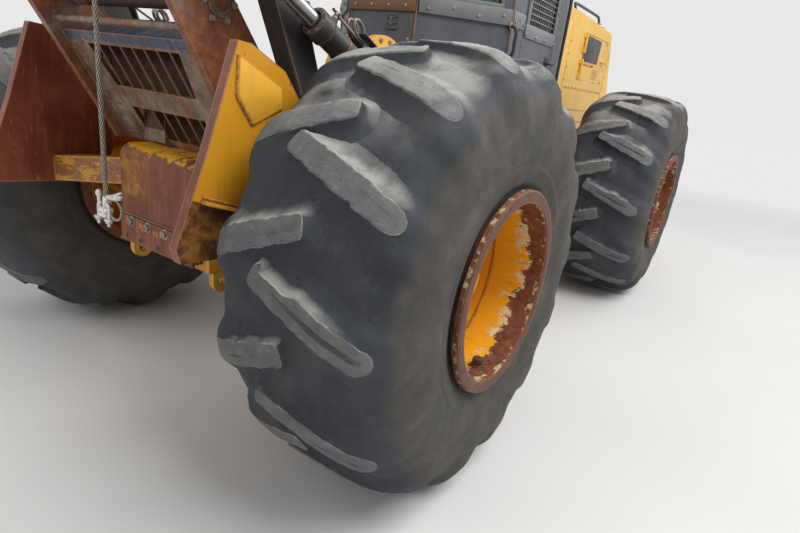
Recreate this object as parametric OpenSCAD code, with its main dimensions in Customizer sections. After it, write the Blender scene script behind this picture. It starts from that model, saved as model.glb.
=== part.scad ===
/* [Layout] */
// Distance between the two axles
wheelbase = 3700; // [3500:10:4000]
// Distance between the middle planes of a left and a right wheel
track = 2560; // [2500:10:2700]
// Reach of the machine behind the rear axle
rear_reach = 2300; // [2300:10:2400]
// Reach of the machine ahead of the front axle
front_reach = 1775; // [1775:5:1850]

/* [Wheels] */
// Outer radius of a tyre over its lugs, which is also the height of the axles
tyre_r = 960; // [940:5:980]
// Width of a tyre over its shoulders
tyre_w = 840; // [780:10:850]
// Height of a lug above the tread
lug_h = 48; // [30:1:55]
// Number of lugs on each side of a tyre
lug_count = 14; // [12:1:14]
// Slant of a lug from the middle of the tread to its shoulder, in degrees round the wheel
lug_slant = 12.5; // [8:0.5:16]
// Radius of the rim where the tyre sits
rim_r = 406; // [400:1:412]
// Radius of the rim's flanges
flange_r = 440; // [430:1:450]
// Thickness of the rim's barrel
rim_t = 20; // [12:1:25]
// Distance of the wheel disc from the wheel's middle, positive outboard
disc_offset = 20; // [0:5:60]
// Radius of the hub on the outside of the disc
hub_r = 190; // [170:5:210]
// Radius of the axle spindle inside the hub
spindle_r = 90; // [80:5:100]

/* [Frames] */
// Outer half-width of both frames
frame_y = 360; // [350:5:370]
// Thickness of the frame's side plates
rail_t = 40; // [30:1:50]
// Height of the frame's lower edge
frame_z0 = 720; // [700:5:740]
// Height of the frame's upper edge
frame_z1 = 1260; // [1240:5:1270]
// Distance of the frame ends from the hinge
frame_end = 600; // [580:5:640]
// Radius of the hinge ears
hinge_ear_r = 130; // [110:5:150]
// Radius of the hinge pins
hinge_pin_r = 45; // [35:1:55]
// Thickness of a hinge ear on the rear frame
fork_t = 40; // [30:1:45]
// Thickness of a hinge lug on the front frame
lug_t = 80; // [70:1:90]
// Gap between a hinge lug and the ears beside it
hinge_gap = 5; // [5:1:8]

/* [Axles] */
// Radius of an axle housing
axle_r = 112; // [100:2:118]
// Radius of the differential's bowl
bowl_r = 225; // [200:5:240]

/* [Butt plate and wings] */
// Half-width of the butt plate
butt_y = 310; // [290:5:318]
// Height of the butt plate's lower edge
butt_z0 = 760; // [740:5:790]
// Thickness of the butt plate
butt_t = 40; // [30:1:50]
// Outer radius of the roll along the butt plate's top
roll_r = 70; // [55:1:90]
// Distance of the butt plate's face behind the rear axle
butt_x = 520; // [510:2:540]
// Gap between the wing plates and the tyres
wing_clear = 60; // [55:1:65]
// Thickness of the wing plates
wing_t = 45; // [30:1:50]

/* [Fairlead tower] */
// Gap between the tower and the arch legs
tower_gap = 45; // [30:1:60]
// Thickness of the tower's side plates
tower_t = 40; // [30:1:45]
// Lean of the tower from upright, in degrees
tower_lean = 31.8; // [28:0.2:34]
// Depth of the tower's side plates, level
tower_depth = 300; // [280:5:320]
// Height of the tower's top
tower_top = 2090; // [2060:5:2100]
// Thickness of the tower's fins
fin_t = 14; // [10:1:18]
// Number of fins across the tower's upper window
fin_count = 7; // [5:1:8]
// Radius of the fairlead roller that the rope hangs from
roller_r = 70; // [60:1:75]

/* [Rope] */
// Diameter of the winch rope
rope_d = 22; // [22:1:22]

/* [Arch and boom] */
// From the middle of the arch legs to the tyres
leg_clear = 210; // [205:1:215]
// Width of an arch leg across the machine
leg_w = 100; // [90:1:100]
// Depth of an arch leg
leg_d = 150; // [130:5:160]
// Height of the arch's pivot
arch_pivot_z = 1170; // [1160:1:1175]
// Radius of the arch's pivot pins
arch_pin_r = 45; // [35:1:55]
// Width of the boom
boom_w = 180; // [160:5:190]

/* [Grapple] */
// Radius of the log that the closed tongs hold
grab_r = 340; // [320:5:350]
// Width of a tong along the machine
tong_w = 210; // [180:5:220]
// Half-distance between the tongs' pivots
tong_pivot_y = 230; // [220:2:240]

/* [Cab and hood] */
// Half-width of the cab
cab_y = 750; // [730:5:760]
// Half-width of the cab's narrow rear wall
cab_rear_y = 280; // [270:5:300]
// Thickness of the cab's walls
wall_t = 40; // [30:1:50]
// Height of the cab's floor underside
cab_z0 = 1330; // [1320:2:1340]
// Height of the cab's ceiling
cab_z1 = 3040; // [3000:10:3060]
// Half-width of the hood
hood_y = 600; // [580:5:620]
// Thickness of the hood's panels
hood_t = 20; // [15:1:25]

/* [Blade] */
// Width of the blade
blade_w = 2900; // [2700:50:3000]
// Radius of the blade's curve
blade_r = 700; // [680:5:720]
// Thickness of the blade's plate
blade_t = 25; // [20:1:30]
// Height of the cutting edge above the ground
blade_z0 = 60; // [40:5:80]
// Height of the blade
blade_h = 880; // [800:10:900]

/* [Cylinders] */
// Radius of the rods of the arch cylinders
arch_rod_r = 32; // [28:1:36]
// Radius of the barrels of the arch cylinders
arch_barrel_r = 56; // [50:1:58]

/* [Hidden] */
$fn = 48;

// Places along the machine: the hinge, the rear axle and the front axle
half_base = wheelbase / 2;
inner_y = track / 2 - tyre_w / 2;
wing_y = inner_y - wing_clear;
leg_y = inner_y - leg_clear;
tower_y = leg_y - leg_w / 2 - tower_gap;
hinge_x = (rear_reach - front_reach) / 2;
rear_x = hinge_x - half_base;
front_x = hinge_x + half_base;
axle_z = tyre_r;
fit_gap = 0.3;
// How far the gland's collar stands out from a cylinder's barrel
collar = 6;
// Clear space between a barrel's eye and the ears beside it
eye_gap = 4;
// Space at the side of a rod's eye or a moving plate
side_gap = 5;
e = 1;

// General shapes
module rear() translate([rear_x, 0, 0]) children();
module front() translate([front_x, 0, 0]) children();
module both_sides() {
  children();
  mirror([0, 1, 0]) children();
}
module plate_y(pts, y0, t) translate([0, y0 + t, 0]) rotate([90, 0, 0]) linear_extrude(t) polygon(pts);
module plate_x(pts, x0, t) translate([x0, 0, 0]) rotate([90, 0, 90]) linear_extrude(t) polygon(pts);
module plate_z(pts, z0, t) translate([0, 0, z0]) linear_extrude(t) polygon(pts);
module block(x0, x1, y0, y1, z0, z1) translate([x0, y0, z0]) cube([x1 - x0, y1 - y0, z1 - z0]);
module rod_y(x, z, r, y0, y1) translate([x, y1, z]) rotate([90, 0, 0]) cylinder(h = y1 - y0, r = r);
module rod_x(y, z, r, x0, x1) translate([x0, y, z]) rotate([0, 90, 0]) cylinder(h = x1 - x0, r = r);
module rod_z(x, y, r, z0, z1) translate([x, y, z0]) cylinder(h = z1 - z0, r = r);

// A cylinder in a plane of constant y: from its base pin at p to its rod pin at q, each [x, z]
function span(p, q) = norm([q[0] - p[0], q[1] - p[1]]);
function slope(p, q) = atan2(q[1] - p[1], q[0] - p[0]);
module along(p, q, y) translate([p[0], y, p[1]]) rotate([0, -slope(p, q), 0]) children();
module barrel(length, r, rod_r, eye_w, pin_r) difference() {
  union() {
    rod_y(0, 0, r, -eye_w / 2, eye_w / 2);
    rod_x(0, 0, r, 0, length);
    rod_x(0, 0, r + collar, length - 50, length);
  }
  rod_x(0, 0, rod_r + fit_gap, r + 30, length + e);
  rod_y(0, 0, pin_r + fit_gap, -eye_w, eye_w);
}
module rod(reach, length, rod_r, eye_r, eye_w) {
  rod_x(0, 0, rod_r, reach - length, reach);
  rod_y(reach, 0, eye_r, -eye_w / 2, eye_w / 2);
}
// Two round ears beside a barrel of radius r, with the base pin through them
module base_ears(r, t, ear_r, pin_r) {
  both_sides() rod_y(0, 0, ear_r, r + eye_gap, r + eye_gap + t);
  rod_y(0, 0, pin_r, -r - eye_gap - t, r + eye_gap + t);
}
// Hinge with an upright pin: the fixed part and, between its two knuckles, the moving one
hinge_r = 14;
hinge_out = hinge_r + 1;
hinge_h = 90;
hinge_leaf = 60;
module hinge_fixed(x, y, z) {
  rod_z(x, y + hinge_out, 7, z - hinge_h, z + hinge_h);
  for (k = [z - hinge_h, z + hinge_h / 2 + e]) {
    rod_z(x, y + hinge_out, hinge_r, k, k + hinge_h / 2 - e);
    block(x - hinge_leaf, x, y - e, y + 8, k, k + hinge_h / 2 - e);
  }
}
module hinge_moving(x, y, z) difference() {
  union() {
    rod_z(x, y + hinge_out, hinge_r, z - hinge_h / 2 + e, z + hinge_h / 2 - e);
    block(x + 5, x + hinge_leaf, y - e, y + 8, z - hinge_h / 2 + e, z + hinge_h / 2 - e);
  }
  rod_z(x, y + hinge_out, 7 + fit_gap, z - hinge_h, z + hinge_h);
}

// Frames
// Side outline of the rear frame's rails, from [x, z] behind and ahead of the rear axle
rear_end_x = butt_x - butt_t;
saddle_z = axle_z + axle_r;
notch_x = 170;
rail_end = half_base - frame_end;
rear_rail = [[-rear_end_x, butt_z0], [-notch_x - 90, butt_z0], [-notch_x, saddle_z], [notch_x, saddle_z],
  [notch_x + 150, frame_z0], [rail_end, frame_z0], [rail_end, frame_z1], [-rear_end_x + 60, frame_z1],
  [-rear_end_x, frame_z1 - 60]];
// Heights of the two hinge forks: the middle of each lug
hinge_z = [frame_z1 - 55 - lug_t / 2, frame_z0 + 15 + lug_t / 2];
lug_half = lug_t / 2;
fork_half = lug_half + hinge_gap;
// Plan of a hinge ear, from the frame's end to the hinge
module ear_plan() difference() {
  union() {
    circle(hinge_ear_r, $fn = 64);
    polygon([[-frame_end, -frame_y], [-frame_end, frame_y], [-frame_end + 60, frame_y],
      [-40, hinge_ear_r - 8], [-40, -hinge_ear_r + 8], [-frame_end + 60, -frame_y]]);
  }
  circle(hinge_pin_r + fit_gap, $fn = 64);
}
// Where the arch cylinders' base pins are, and the height and place of the arch pivot
arch_cyl_base = [850, 1385];
cyl_y = leg_y + leg_w / 2 + 12 + arch_barrel_r;
cyl_in = cyl_y - arch_barrel_r - eye_gap;
base_pin_r = 28;
// Tie-down lug under each rail behind the rear axle
tie_eye = [-400, 705];
tie_eye_r = 25;
tie_lug_r = 55;
module tie_lugs() color("goldenrod") rear() both_sides() difference() {
  union() {
    rod_y(tie_eye[0], tie_eye[1], tie_lug_r, frame_y - rail_t, frame_y);
    block(tie_eye[0] - tie_lug_r, tie_eye[0] + tie_lug_r, frame_y - rail_t, frame_y, tie_eye[1], butt_z0);
  }
  rod_y(tie_eye[0], tie_eye[1], tie_eye_r, frame_y - rail_t - e, frame_y + e);
}
module rear_frame() color("goldenrod") rear() {
  both_sides() plate_y(rear_rail, frame_y - rail_t, rail_t);
  block(rail_end - 40, rail_end, -frame_y, frame_y, frame_z0, frame_z1);
  block(-rear_end_x, -rear_end_x + 30, -frame_y, frame_y, butt_z0, frame_z1 - 60);
  block(notch_x + 150, rail_end, -frame_y + rail_t, frame_y - rail_t, frame_z0, frame_z0 + 20);
  rod_y(0, arch_pivot_z, 80, -leg_y + leg_w / 2 + side_gap, leg_y - leg_w / 2 - side_gap);
  both_sides() rod_y(0, arch_pivot_z, arch_pin_r, leg_y - leg_w / 2 - side_gap - e,
    leg_y + leg_w / 2 + side_gap);
  both_sides() rod_y(0, arch_pivot_z, arch_pin_r + 18, leg_y + leg_w / 2 + 2, leg_y + leg_w / 2 + 14);
  // Outriggers that carry the arch cylinders' base pins
  both_sides() plate_z([[arch_cyl_base[0] - 160, frame_y - e], [arch_cyl_base[0] + 100, frame_y - e],
    [arch_cyl_base[0] + 60, cyl_in - 10], [arch_cyl_base[0] - 60, cyl_in - 10]], frame_z1 - 120, 120);
  both_sides() block(arch_cyl_base[0] - 60, arch_cyl_base[0] + 60, cyl_in - 30, cyl_in, frame_z1 - 120,
    arch_cyl_base[1] + 60);
  both_sides() rod_y(arch_cyl_base[0], arch_cyl_base[1], base_pin_r, cyl_in - e, cyl_y + arch_barrel_r + 2);
  both_sides() rod_y(arch_cyl_base[0], arch_cyl_base[1], base_pin_r + 10, cyl_y + arch_barrel_r + 2,
    cyl_y + arch_barrel_r + 12);
  // Forks round the hinge
  for (z = hinge_z, s = [-1, 1])
    translate([half_base, 0, z + (s > 0 ? fork_half : -fork_half - fork_t)])
      linear_extrude(fork_t) ear_plan();
  // Seats of the steering cylinders' base pins
  both_sides() steer_base_seat();
}
module hinge_pins() color("dimgray") translate([hinge_x, 0, 0]) for (z = hinge_z) {
  rod_z(0, 0, hinge_pin_r, z - fork_half - fork_t, z + fork_half + fork_t);
  rod_z(0, 0, hinge_pin_r + 20, z + fork_half + fork_t, z + fork_half + fork_t + 12);
}
module axle() {
  rod_y(0, axle_z, axle_r, -track / 2 + 200, track / 2 - 200);
  rod_y(0, axle_z, spindle_r, -track / 2 - disc_offset - 100, track / 2 + disc_offset + 100);
  both_sides() rod_y(0, axle_z, axle_r + 28, 740, track / 2 - 200);
  intersection() {
    translate([0, 0, axle_z]) sphere(bowl_r, $fn = 64);
    block(-bowl_r, bowl_r, -frame_y + rail_t + 10, frame_y - rail_t - 10, axle_z - bowl_r, saddle_z);
  }
}
module rear_axle() color("darkgoldenrod") rear() {
  axle();
  rod_x(0, axle_z, 90, 200, 330);
}
module front_axle() color("darkgoldenrod") front() {
  axle();
  rod_x(0, axle_z, 90, -330, -200);
}

// Butt plate with a rolled top
ledge_z = frame_z1;
module butt_plate() color("saddlebrown") rear() {
  face_x = -butt_x;
  roll_z = ledge_z + 30 - roll_r;
  block(face_x, face_x + butt_t, -butt_y, butt_y, butt_z0 + 40, roll_z);
  intersection() {
    difference() {
      rod_y(face_x + roll_r, roll_z, roll_r, -butt_y, butt_y);
      rod_y(face_x + roll_r, roll_z, roll_r - butt_t, -butt_y - e, butt_y + e);
    }
    block(face_x - e, face_x + roll_r, -butt_y - e, butt_y + e, roll_z, roll_z + roll_r + e);
  }
  block(face_x + roll_r, -290, -butt_y, butt_y, roll_z + roll_r - 30, roll_z + roll_r);
  // Wear plate bolted along the lower edge
  block(face_x - 14, face_x, -butt_y + 8, butt_y - 8, butt_z0 + 25, butt_z0 + 165);
}
// Side outline of a wing plate
wing = [[-700, 1817], [-821, 1448], [-955, 1089], [-935, 1030], [-380, 1000], [-300, 1200],
  [-330, 1560], [-470, 1730], [-640, 1812]];
module wing_plates() color("saddlebrown") rear() both_sides() {
  plate_y(wing, wing_y - wing_t, wing_t);
  // Strut between the frame and the wing plate
  intersection() {
    plate_z([[-470, frame_y], [-rear_end_x + 100, frame_y], [-480, wing_y - wing_t + e],
      [-640, wing_y - wing_t + e]], 900, 500);
    plate_x([[frame_y, 1060], [wing_y, 1015], [wing_y, 1150], [frame_y, 1200]], -700, 400);
  }
}

// Fairlead tower: two leaning side plates, a ladder plate between them and fins in its windows
lean = tan(tower_lean);
function tower_x(z) = -782 - lean * (z - 1900);
tower_z0 = frame_z1 + 30;
ladder_in = 60;
ladder_t = 30;
ladder_top = 1800;
win_z = [[1330, 1474], [1569, 1761]];
win_y = [[285, 290], [312, 355]];
module tower_side() plate_y([[tower_x(tower_z0), tower_z0], [tower_x(tower_top), tower_top],
  [tower_x(tower_top) + tower_depth - 60, tower_top],
  [tower_x(tower_top - 80) + tower_depth, tower_top - 80],
  [tower_x(tower_z0) + tower_depth + 120, tower_z0]], tower_y - tower_t, tower_t);
module ladder_slab(z0, z1, y, x_in, t) plate_y([[tower_x(z0) + x_in, z0], [tower_x(z1) + x_in, z1],
  [tower_x(z1) + x_in + t, z1], [tower_x(z0) + x_in + t, z0]], -y, 2 * y);
fin_pitch = 92;
module fin(y, z) plate_y([[tower_x(z[0] - 5) + ladder_in + 8, z[0] - 5],
  [tower_x(z[1] + 5) + ladder_in + 8, z[1] + 5],
  [tower_x(z[1] + 5) + ladder_in + 130, z[1] + 5],
  [tower_x(z[0] - 5) + ladder_in + 130, z[0] - 5]], y - fin_t / 2, fin_t);
module fairlead_tower() color("gray") rear() {
  both_sides() tower_side();
  difference() {
    ladder_slab(tower_z0, ladder_top, tower_y - tower_t + e, ladder_in, ladder_t);
    for (i = [0 : 1]) plate_x([[-win_y[i][0], win_z[i][0]], [win_y[i][0], win_z[i][0]],
      [win_y[i][1], win_z[i][1]], [-win_y[i][1], win_z[i][1]]], -1200, 1200);
  }
  // Fins stand fore and aft in the windows; the lower ones fill its right-hand part
  for (i = [0 : fin_count - 1]) fin((i - (fin_count - 1) / 2) * fin_pitch, win_z[1]);
  for (i = [0 : fin_count - 3]) fin(-win_y[0][0] + (i + 0.5) * fin_pitch, win_z[0]);
  block(tower_x(win_z[0][1]) + ladder_in + 70, tower_x(win_z[0][1]) + ladder_in + 250, 120,
    win_y[0][0] + 10,
    win_z[0][0] - 20, win_z[0][1] + 20);
  for (z = [win_z[0][1], win_z[1][0] - 30, win_z[1][1] - 12])
    ladder_slab(z, z + 30, tower_y - tower_t + e, ladder_in, 150);
  // Bent chute plate over the fins, rising ahead of the rung
  plate_y([[tower_x(win_z[1][1]) + ladder_in, win_z[1][1]],
    [tower_x(win_z[1][1]) + ladder_in + 150, win_z[1][1] + 90],
    [tower_x(win_z[1][1]) + ladder_in + 150, win_z[1][1] + 78],
    [tower_x(win_z[1][1]) + ladder_in + 30, win_z[1][1] - 10]],
    -tower_y + tower_t - e, 2 * (tower_y - tower_t + e));
  // Rung across the tower above the upper window
  rod_y(tower_x(1845) + ladder_in, 1845, 16, -tower_y + tower_t - e, tower_y - tower_t + e);
  // Head tube and gussets in front of the side plates
  rod_y(-590, 1950, 35, -tower_y + tower_t - e, tower_y - tower_t + e);
  both_sides() plate_y([[-480, 1785], [-200, 1650], [-200, 1560], [-370, 1485], [-480, 1600]],
    tower_y - tower_t - 25, 25);
}
roller_x = tower_x(2020) + 170;
roller_z = 2020;
module fairlead_rollers() color("dimgray") rear()
  rod_y(roller_x, roller_z, roller_r, -tower_y + tower_t + fit_gap, tower_y - tower_t - fit_gap);

// Winch: a drum between two cheeks on the frame
winch_x = 330;
winch_z = 1470;
drum_r = 120;
module winch() color("gray") rear() {
  rod_y(winch_x, winch_z, drum_r, -200, 200);
  both_sides() rod_y(winch_x, winch_z, drum_r + 80, 180, 205);
  both_sides() plate_y([[winch_x - 230, frame_z1], [winch_x + 230, frame_z1],
    [winch_x + 160, winch_z + 190],
    [winch_x - 160, winch_z + 190]], 205, 150);
  block(winch_x - 230, winch_x + 230, -355, 355, frame_z1, frame_z1 + 25);
}

// Rope from the top of the drum over the fairlead roller, hanging down: points [x, z] behind the axle
rope_route = [[330, 1602], [180, 1668], [0, 1752], [-200, 1848], [-400, 1952], [-560, 2040], [-650, 2093],
  [-679, 2102], [-710, 2099], [-738, 2085], [-758, 2060], [-766, 2041], [-768, 2020], [-768, 1900],
  [-768, 1700], [-768, 1500], [-768, 1300], [-768, 1150], [-768, 1040]];
// Rings along the route, no more than three diameters apart
rope_step = 3 * rope_d;
rope_pts = concat([for (i = [0 : len(rope_route) - 2]) let (a = rope_route[i], b = rope_route[i + 1],
  n = ceil(norm(b - a) / rope_step)) each [for (k = [0 : n - 1]) a + (b - a) * k / n]],
  [rope_route[len(rope_route) - 1]]);
rope_sides = 8;
function rope_dir(i) = let (a = rope_pts[max(i - 1, 0)], b = rope_pts[min(i + 1, len(rope_pts) - 1)])
  (b - a) / norm(b - a);
function rope_ring(i) = let (d = rope_dir(i), n = [-d[1], d[0]])
  [for (k = [0 : rope_sides - 1]) let (a = 360 * k / rope_sides)
    [rope_pts[i][0] + n[0] * cos(a) * rope_d / 2, sin(a) * rope_d / 2,
      rope_pts[i][1] + n[1] * cos(a) * rope_d / 2]];
module winch_rope() color("silver") rear() {
  n = len(rope_pts);
  m = rope_sides;
  polyhedron(points = [for (i = [0 : n - 1]) each rope_ring(i)],
    faces = concat([for (i = [0 : n - 2], k = [0 : m - 1])
      [i * m + k, i * m + (k + 1) % m, (i + 1) * m + (k + 1) % m, (i + 1) * m + k]],
      [[for (k = [m - 1 : -1 : 0]) k]], [[for (k = [0 : m - 1]) (n - 1) * m + k]]));
}
rope_end = rope_pts[len(rope_pts) - 1];
clip_r = 19;
eye_r = 42;
module rope_fittings() color("silver") rear() {
  // Clip on the rope's end, and the eye that the rope makes to the right of it
  rod_z(rope_end[0], 0, clip_r, rope_end[1] - 70, rope_end[1]);
  block(rope_end[0] - 34, rope_end[0] + 10, -24, 24, rope_end[1] - 62, rope_end[1] - 18);
  translate([rope_end[0], -eye_r - 6, rope_end[1] - 52]) rotate([0, 70, 0])
    rotate_extrude($fn = 48) translate([eye_r, 0]) circle(rope_d / 2, $fn = 16);
}

// Arch: two leaning legs, a lower beam and a head, points [x, z] from the rear axle
arch_pin = [-640, 2103];
boom_pivot = [-640, 2700];
beam = [-500, 2330];
arch_side = [[-60, arch_pivot_z + 20], [-447, 1990], [-590, 2150], [-640, 2400], [-760, 2640], [-740, 2780],
  [-480, 2790], [-390, 2500], [-350, 2200], [-290, 1990], [85, arch_pivot_z - 20]];
arch_lug = [[-400, 2010], [-640, 2048], [-640, 2158], [-480, 2260]];
boom_eye_y = boom_w / 2 + side_gap;
boom_cyl_base = [-600, 2300];
boom_cyl_pin = [-1258, 2480];
boom_cyl_y = 150;
boom_barrel_r = 40;
module arch() color("dimgray") rear() {
  difference() {
    both_sides() union() {
      plate_y(arch_side, leg_y - leg_w / 2, leg_w);
      rod_y(0, arch_pivot_z, 90, leg_y - leg_w / 2, leg_y + leg_w / 2);
      plate_y(arch_lug, leg_y - leg_w / 2, leg_w);
      rod_y(arch_pin[0], arch_pin[1], 55, leg_y - leg_w / 2, cyl_y - 41);
    }
    both_sides() rod_y(0, arch_pivot_z, arch_pin_r + fit_gap, leg_y - leg_w, leg_y + leg_w);
  }
  rod_y(beam[0], beam[1], 60, -leg_y + leg_w / 2 - e, leg_y - leg_w / 2 + e);
  // Head beam with the boom's two ears
  difference() {
    union() {
      block(-520, -400, -leg_y + leg_w / 2 - e, leg_y - leg_w / 2 + e, 2560, 2720);
      both_sides() plate_y([[-640, 2780], [-560, 2790], [-430, 2710], [-430, 2570],
        [-640, 2620]], boom_eye_y, 40);
      both_sides() rod_y(boom_pivot[0], boom_pivot[1], 80, boom_eye_y, boom_eye_y + 40);
    }
    rod_y(boom_pivot[0], boom_pivot[1], 40 + fit_gap, -boom_eye_y - 50, boom_eye_y + 50);
  }
  // Ears of the boom cylinders' base pins on the lower beam
  for (y = [-boom_cyl_y, boom_cyl_y]) {
    translate([0, y, 0]) both_sides() plate_y([[boom_cyl_base[0], boom_cyl_base[1] - 38],
      [boom_cyl_base[0], boom_cyl_base[1] + 38], [beam[0], beam[1] + 50], [beam[0], beam[1] - 50]],
      boom_barrel_r + eye_gap, 16);
    translate([boom_cyl_base[0], y, boom_cyl_base[1]]) base_ears(boom_barrel_r, 16, 40, 22);
  }
}

// Arch cylinders
arch_reach = span(arch_cyl_base, arch_pin);
arch_barrel_len = 1257;
arch_rod_len = 1050;
module arch_cylinder_barrels() color("dimgray") rear() for (s = [-1, 1])
  along(arch_cyl_base, arch_pin, s * cyl_y) barrel(arch_barrel_len, arch_barrel_r, arch_rod_r,
    2 * arch_barrel_r, base_pin_r);
module arch_cylinder_rods() color("silver") rear() for (s = [-1, 1])
  along(arch_cyl_base, arch_pin, s * cyl_y) rod(arch_reach, arch_rod_len, arch_rod_r, 50, 70);

// Boom: a tapered box from its pivot to the grapple's pin
boom_tip = [-2150, 2450];
boom_side = [[-620, 2620], [-620, 2780], [-700, 2790], [-1600, 2680], [-2150, 2535], [-2228, 2450],
  [-2150, 2372], [-1900, 2400], [-1290, 2470], [-1210, 2490], [-700, 2600]];
link_gap = 60;
module boom() color("dimgray") rear() {
  difference() {
    union() {
      plate_y(boom_side, -boom_w / 2, boom_w);
      rod_y(boom_pivot[0], boom_pivot[1], 95, -boom_w / 2, boom_w / 2);
      rod_y(boom_pivot[0], boom_pivot[1], 40, -boom_eye_y - 52, boom_eye_y + 52);
      // Ears over the rod eyes of the boom cylinders
      both_sides() block(-1320, -1200, boom_w / 2 - e, boom_cyl_y + 60, 2545, 2575);
      for (y = [-boom_cyl_y, boom_cyl_y], s = [-1, 1])
        plate_y([[-1310, 2560], [-1300, 2450], [-1215, 2450], [-1205, 2560]], y + s * 47 - 8, 16);
    }
    // Slot for the swing link at the tip
    block(boom_tip[0] - 150, boom_tip[0] + 150, -link_gap, link_gap, 2300, 2600);
  }
  rod_y(boom_tip[0], boom_tip[1], 34, -boom_w / 2, boom_w / 2);
}
boom_reach = span(boom_cyl_base, boom_cyl_pin);
module boom_cylinder_barrels() color("dimgray") rear() for (s = [-1, 1])
  along(boom_cyl_base, boom_cyl_pin, s * boom_cyl_y) barrel(510, boom_barrel_r, 24, 2 * boom_barrel_r, 22);
module boom_cylinder_rods() color("silver") rear() for (s = [-1, 1])
  along(boom_cyl_base, boom_cyl_pin, s * boom_cyl_y) rod(boom_reach, 380, 24, 38, 56);

// Grapple, hung from the boom's tip; heights below it
link_len = 200;
rotator_z1 = boom_tip[1] - link_len;
rotator_h = 150;
head_z1 = rotator_z1 - rotator_h;
cyl_line_z = head_z1 - 150;
tong_pivot_z = cyl_line_z - 170;
tong_pin_y = 380;
module grapple() translate([rear_x + boom_tip[0], 0, 0]) children();
module grapple_link() color("dimgray") grapple() {
  difference() {
    union() {
      rod_y(0, boom_tip[1], 70, -link_gap + side_gap, link_gap - side_gap);
      block(-60, 60, -link_gap + side_gap, link_gap - side_gap, rotator_z1 + 30, boom_tip[1]);
      rod_z(0, 0, 130, rotator_z1, rotator_z1 + 40);
    }
    rod_y(0, boom_tip[1], 34 + fit_gap, -link_gap, link_gap);
  }
  rod_z(0, 0, 60, rotator_z1 - 60, rotator_z1 + e);
}
head_x = tong_w / 2 + side_gap;
tong_pin_r = 38;
module grapple_head() color("dimgray") grapple() {
  difference() {
    union() {
      rod_z(0, 0, 140, head_z1, rotator_z1 - fit_gap);
      block(-head_x - 25, head_x + 25, -300, 300, head_z1 - 30, head_z1);
    }
    rod_z(0, 0, 60 + fit_gap, rotator_z1 - 61, rotator_z1 + e);
  }
  for (s = [-1, 1]) plate_x([[-300, head_z1 - e], [300, head_z1 - e], [320, tong_pivot_z],
    [230, tong_pivot_z - 80],
    [120, tong_pivot_z + 20], [-120, tong_pivot_z + 20], [-230, tong_pivot_z - 80], [-320, tong_pivot_z]],
    s > 0 ? head_x : -head_x - 25, 25);
  both_sides() rod_x(tong_pivot_y, tong_pivot_z, tong_pin_r, -head_x - 40, head_x + 40);
}
// One tong, drawn for the left: x along the machine, y across, z up from the tong's pivot height
module tong_x(y, z, r, out) rod_x(y, z, r, -tong_w / 2 - out, tong_w / 2 + out);
module tong(s) color("dimgray") grapple() translate([0, 0, tong_pivot_z]) mirror([0, s < 0 ? 1 : 0,
  0]) difference() {
  union() {
    difference() {
      intersection() {
        tong_x(0, -455, grab_r + 88, 0, $fn = 96);
        plate_x([[18, -1000], [18, -700], [150, -560], [150, -100], [300, -60], [600, -60], [600, -1000]],
          -tong_w / 2 - e, tong_w + 2 * e);
      }
      tong_x(0, -470, grab_r, e, $fn = 96);
    }
    tong_x(tong_pivot_y, 0, 78, 0);
    tong_x(tong_pin_y, 170, 52, 0);
    plate_x([[tong_pivot_y - 60, 45], [tong_pin_y - 45, 190], [tong_pin_y + 50, 150],
      [tong_pivot_y + 110, -150],
      [tong_pivot_y - 20, -190]], -tong_w / 2, tong_w);
  }
  tong_x(tong_pivot_y, 0, tong_pin_r + fit_gap, e);
  block(-60, 60, tong_pin_y - 170, tong_pin_y + 80, 95, 260);
}
tong_cyl_pin_r = 22;
module tong_left() {
  tong(1);
  color("dimgray") grapple() rod_x(tong_pin_y, cyl_line_z, tong_cyl_pin_r, -tong_w / 2, tong_w / 2);
}
module tong_right() tong(-1);
module tong_cylinder_barrel() color("dimgray") grapple() translate([0, 0, cyl_line_z]) difference() {
  union() {
    rod_x(tong_pin_y, 0, 42, -50, 50);
    rod_y(0, 0, 44, tong_pin_y - 430, tong_pin_y - 20);
  }
  rod_y(0, 0, 24 + fit_gap, tong_pin_y - 440, tong_pin_y - 70);
  rod_x(tong_pin_y, 0, tong_cyl_pin_r + fit_gap, -60, 60);
}
module tong_cylinder_rod() color("silver") grapple() translate([0, 0, cyl_line_z]) {
  rod_x(-tong_pin_y, 0, 42, -50, 50);
  rod_y(0, 0, 24, -tong_pin_y, -tong_pin_y + 370);
}

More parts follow.
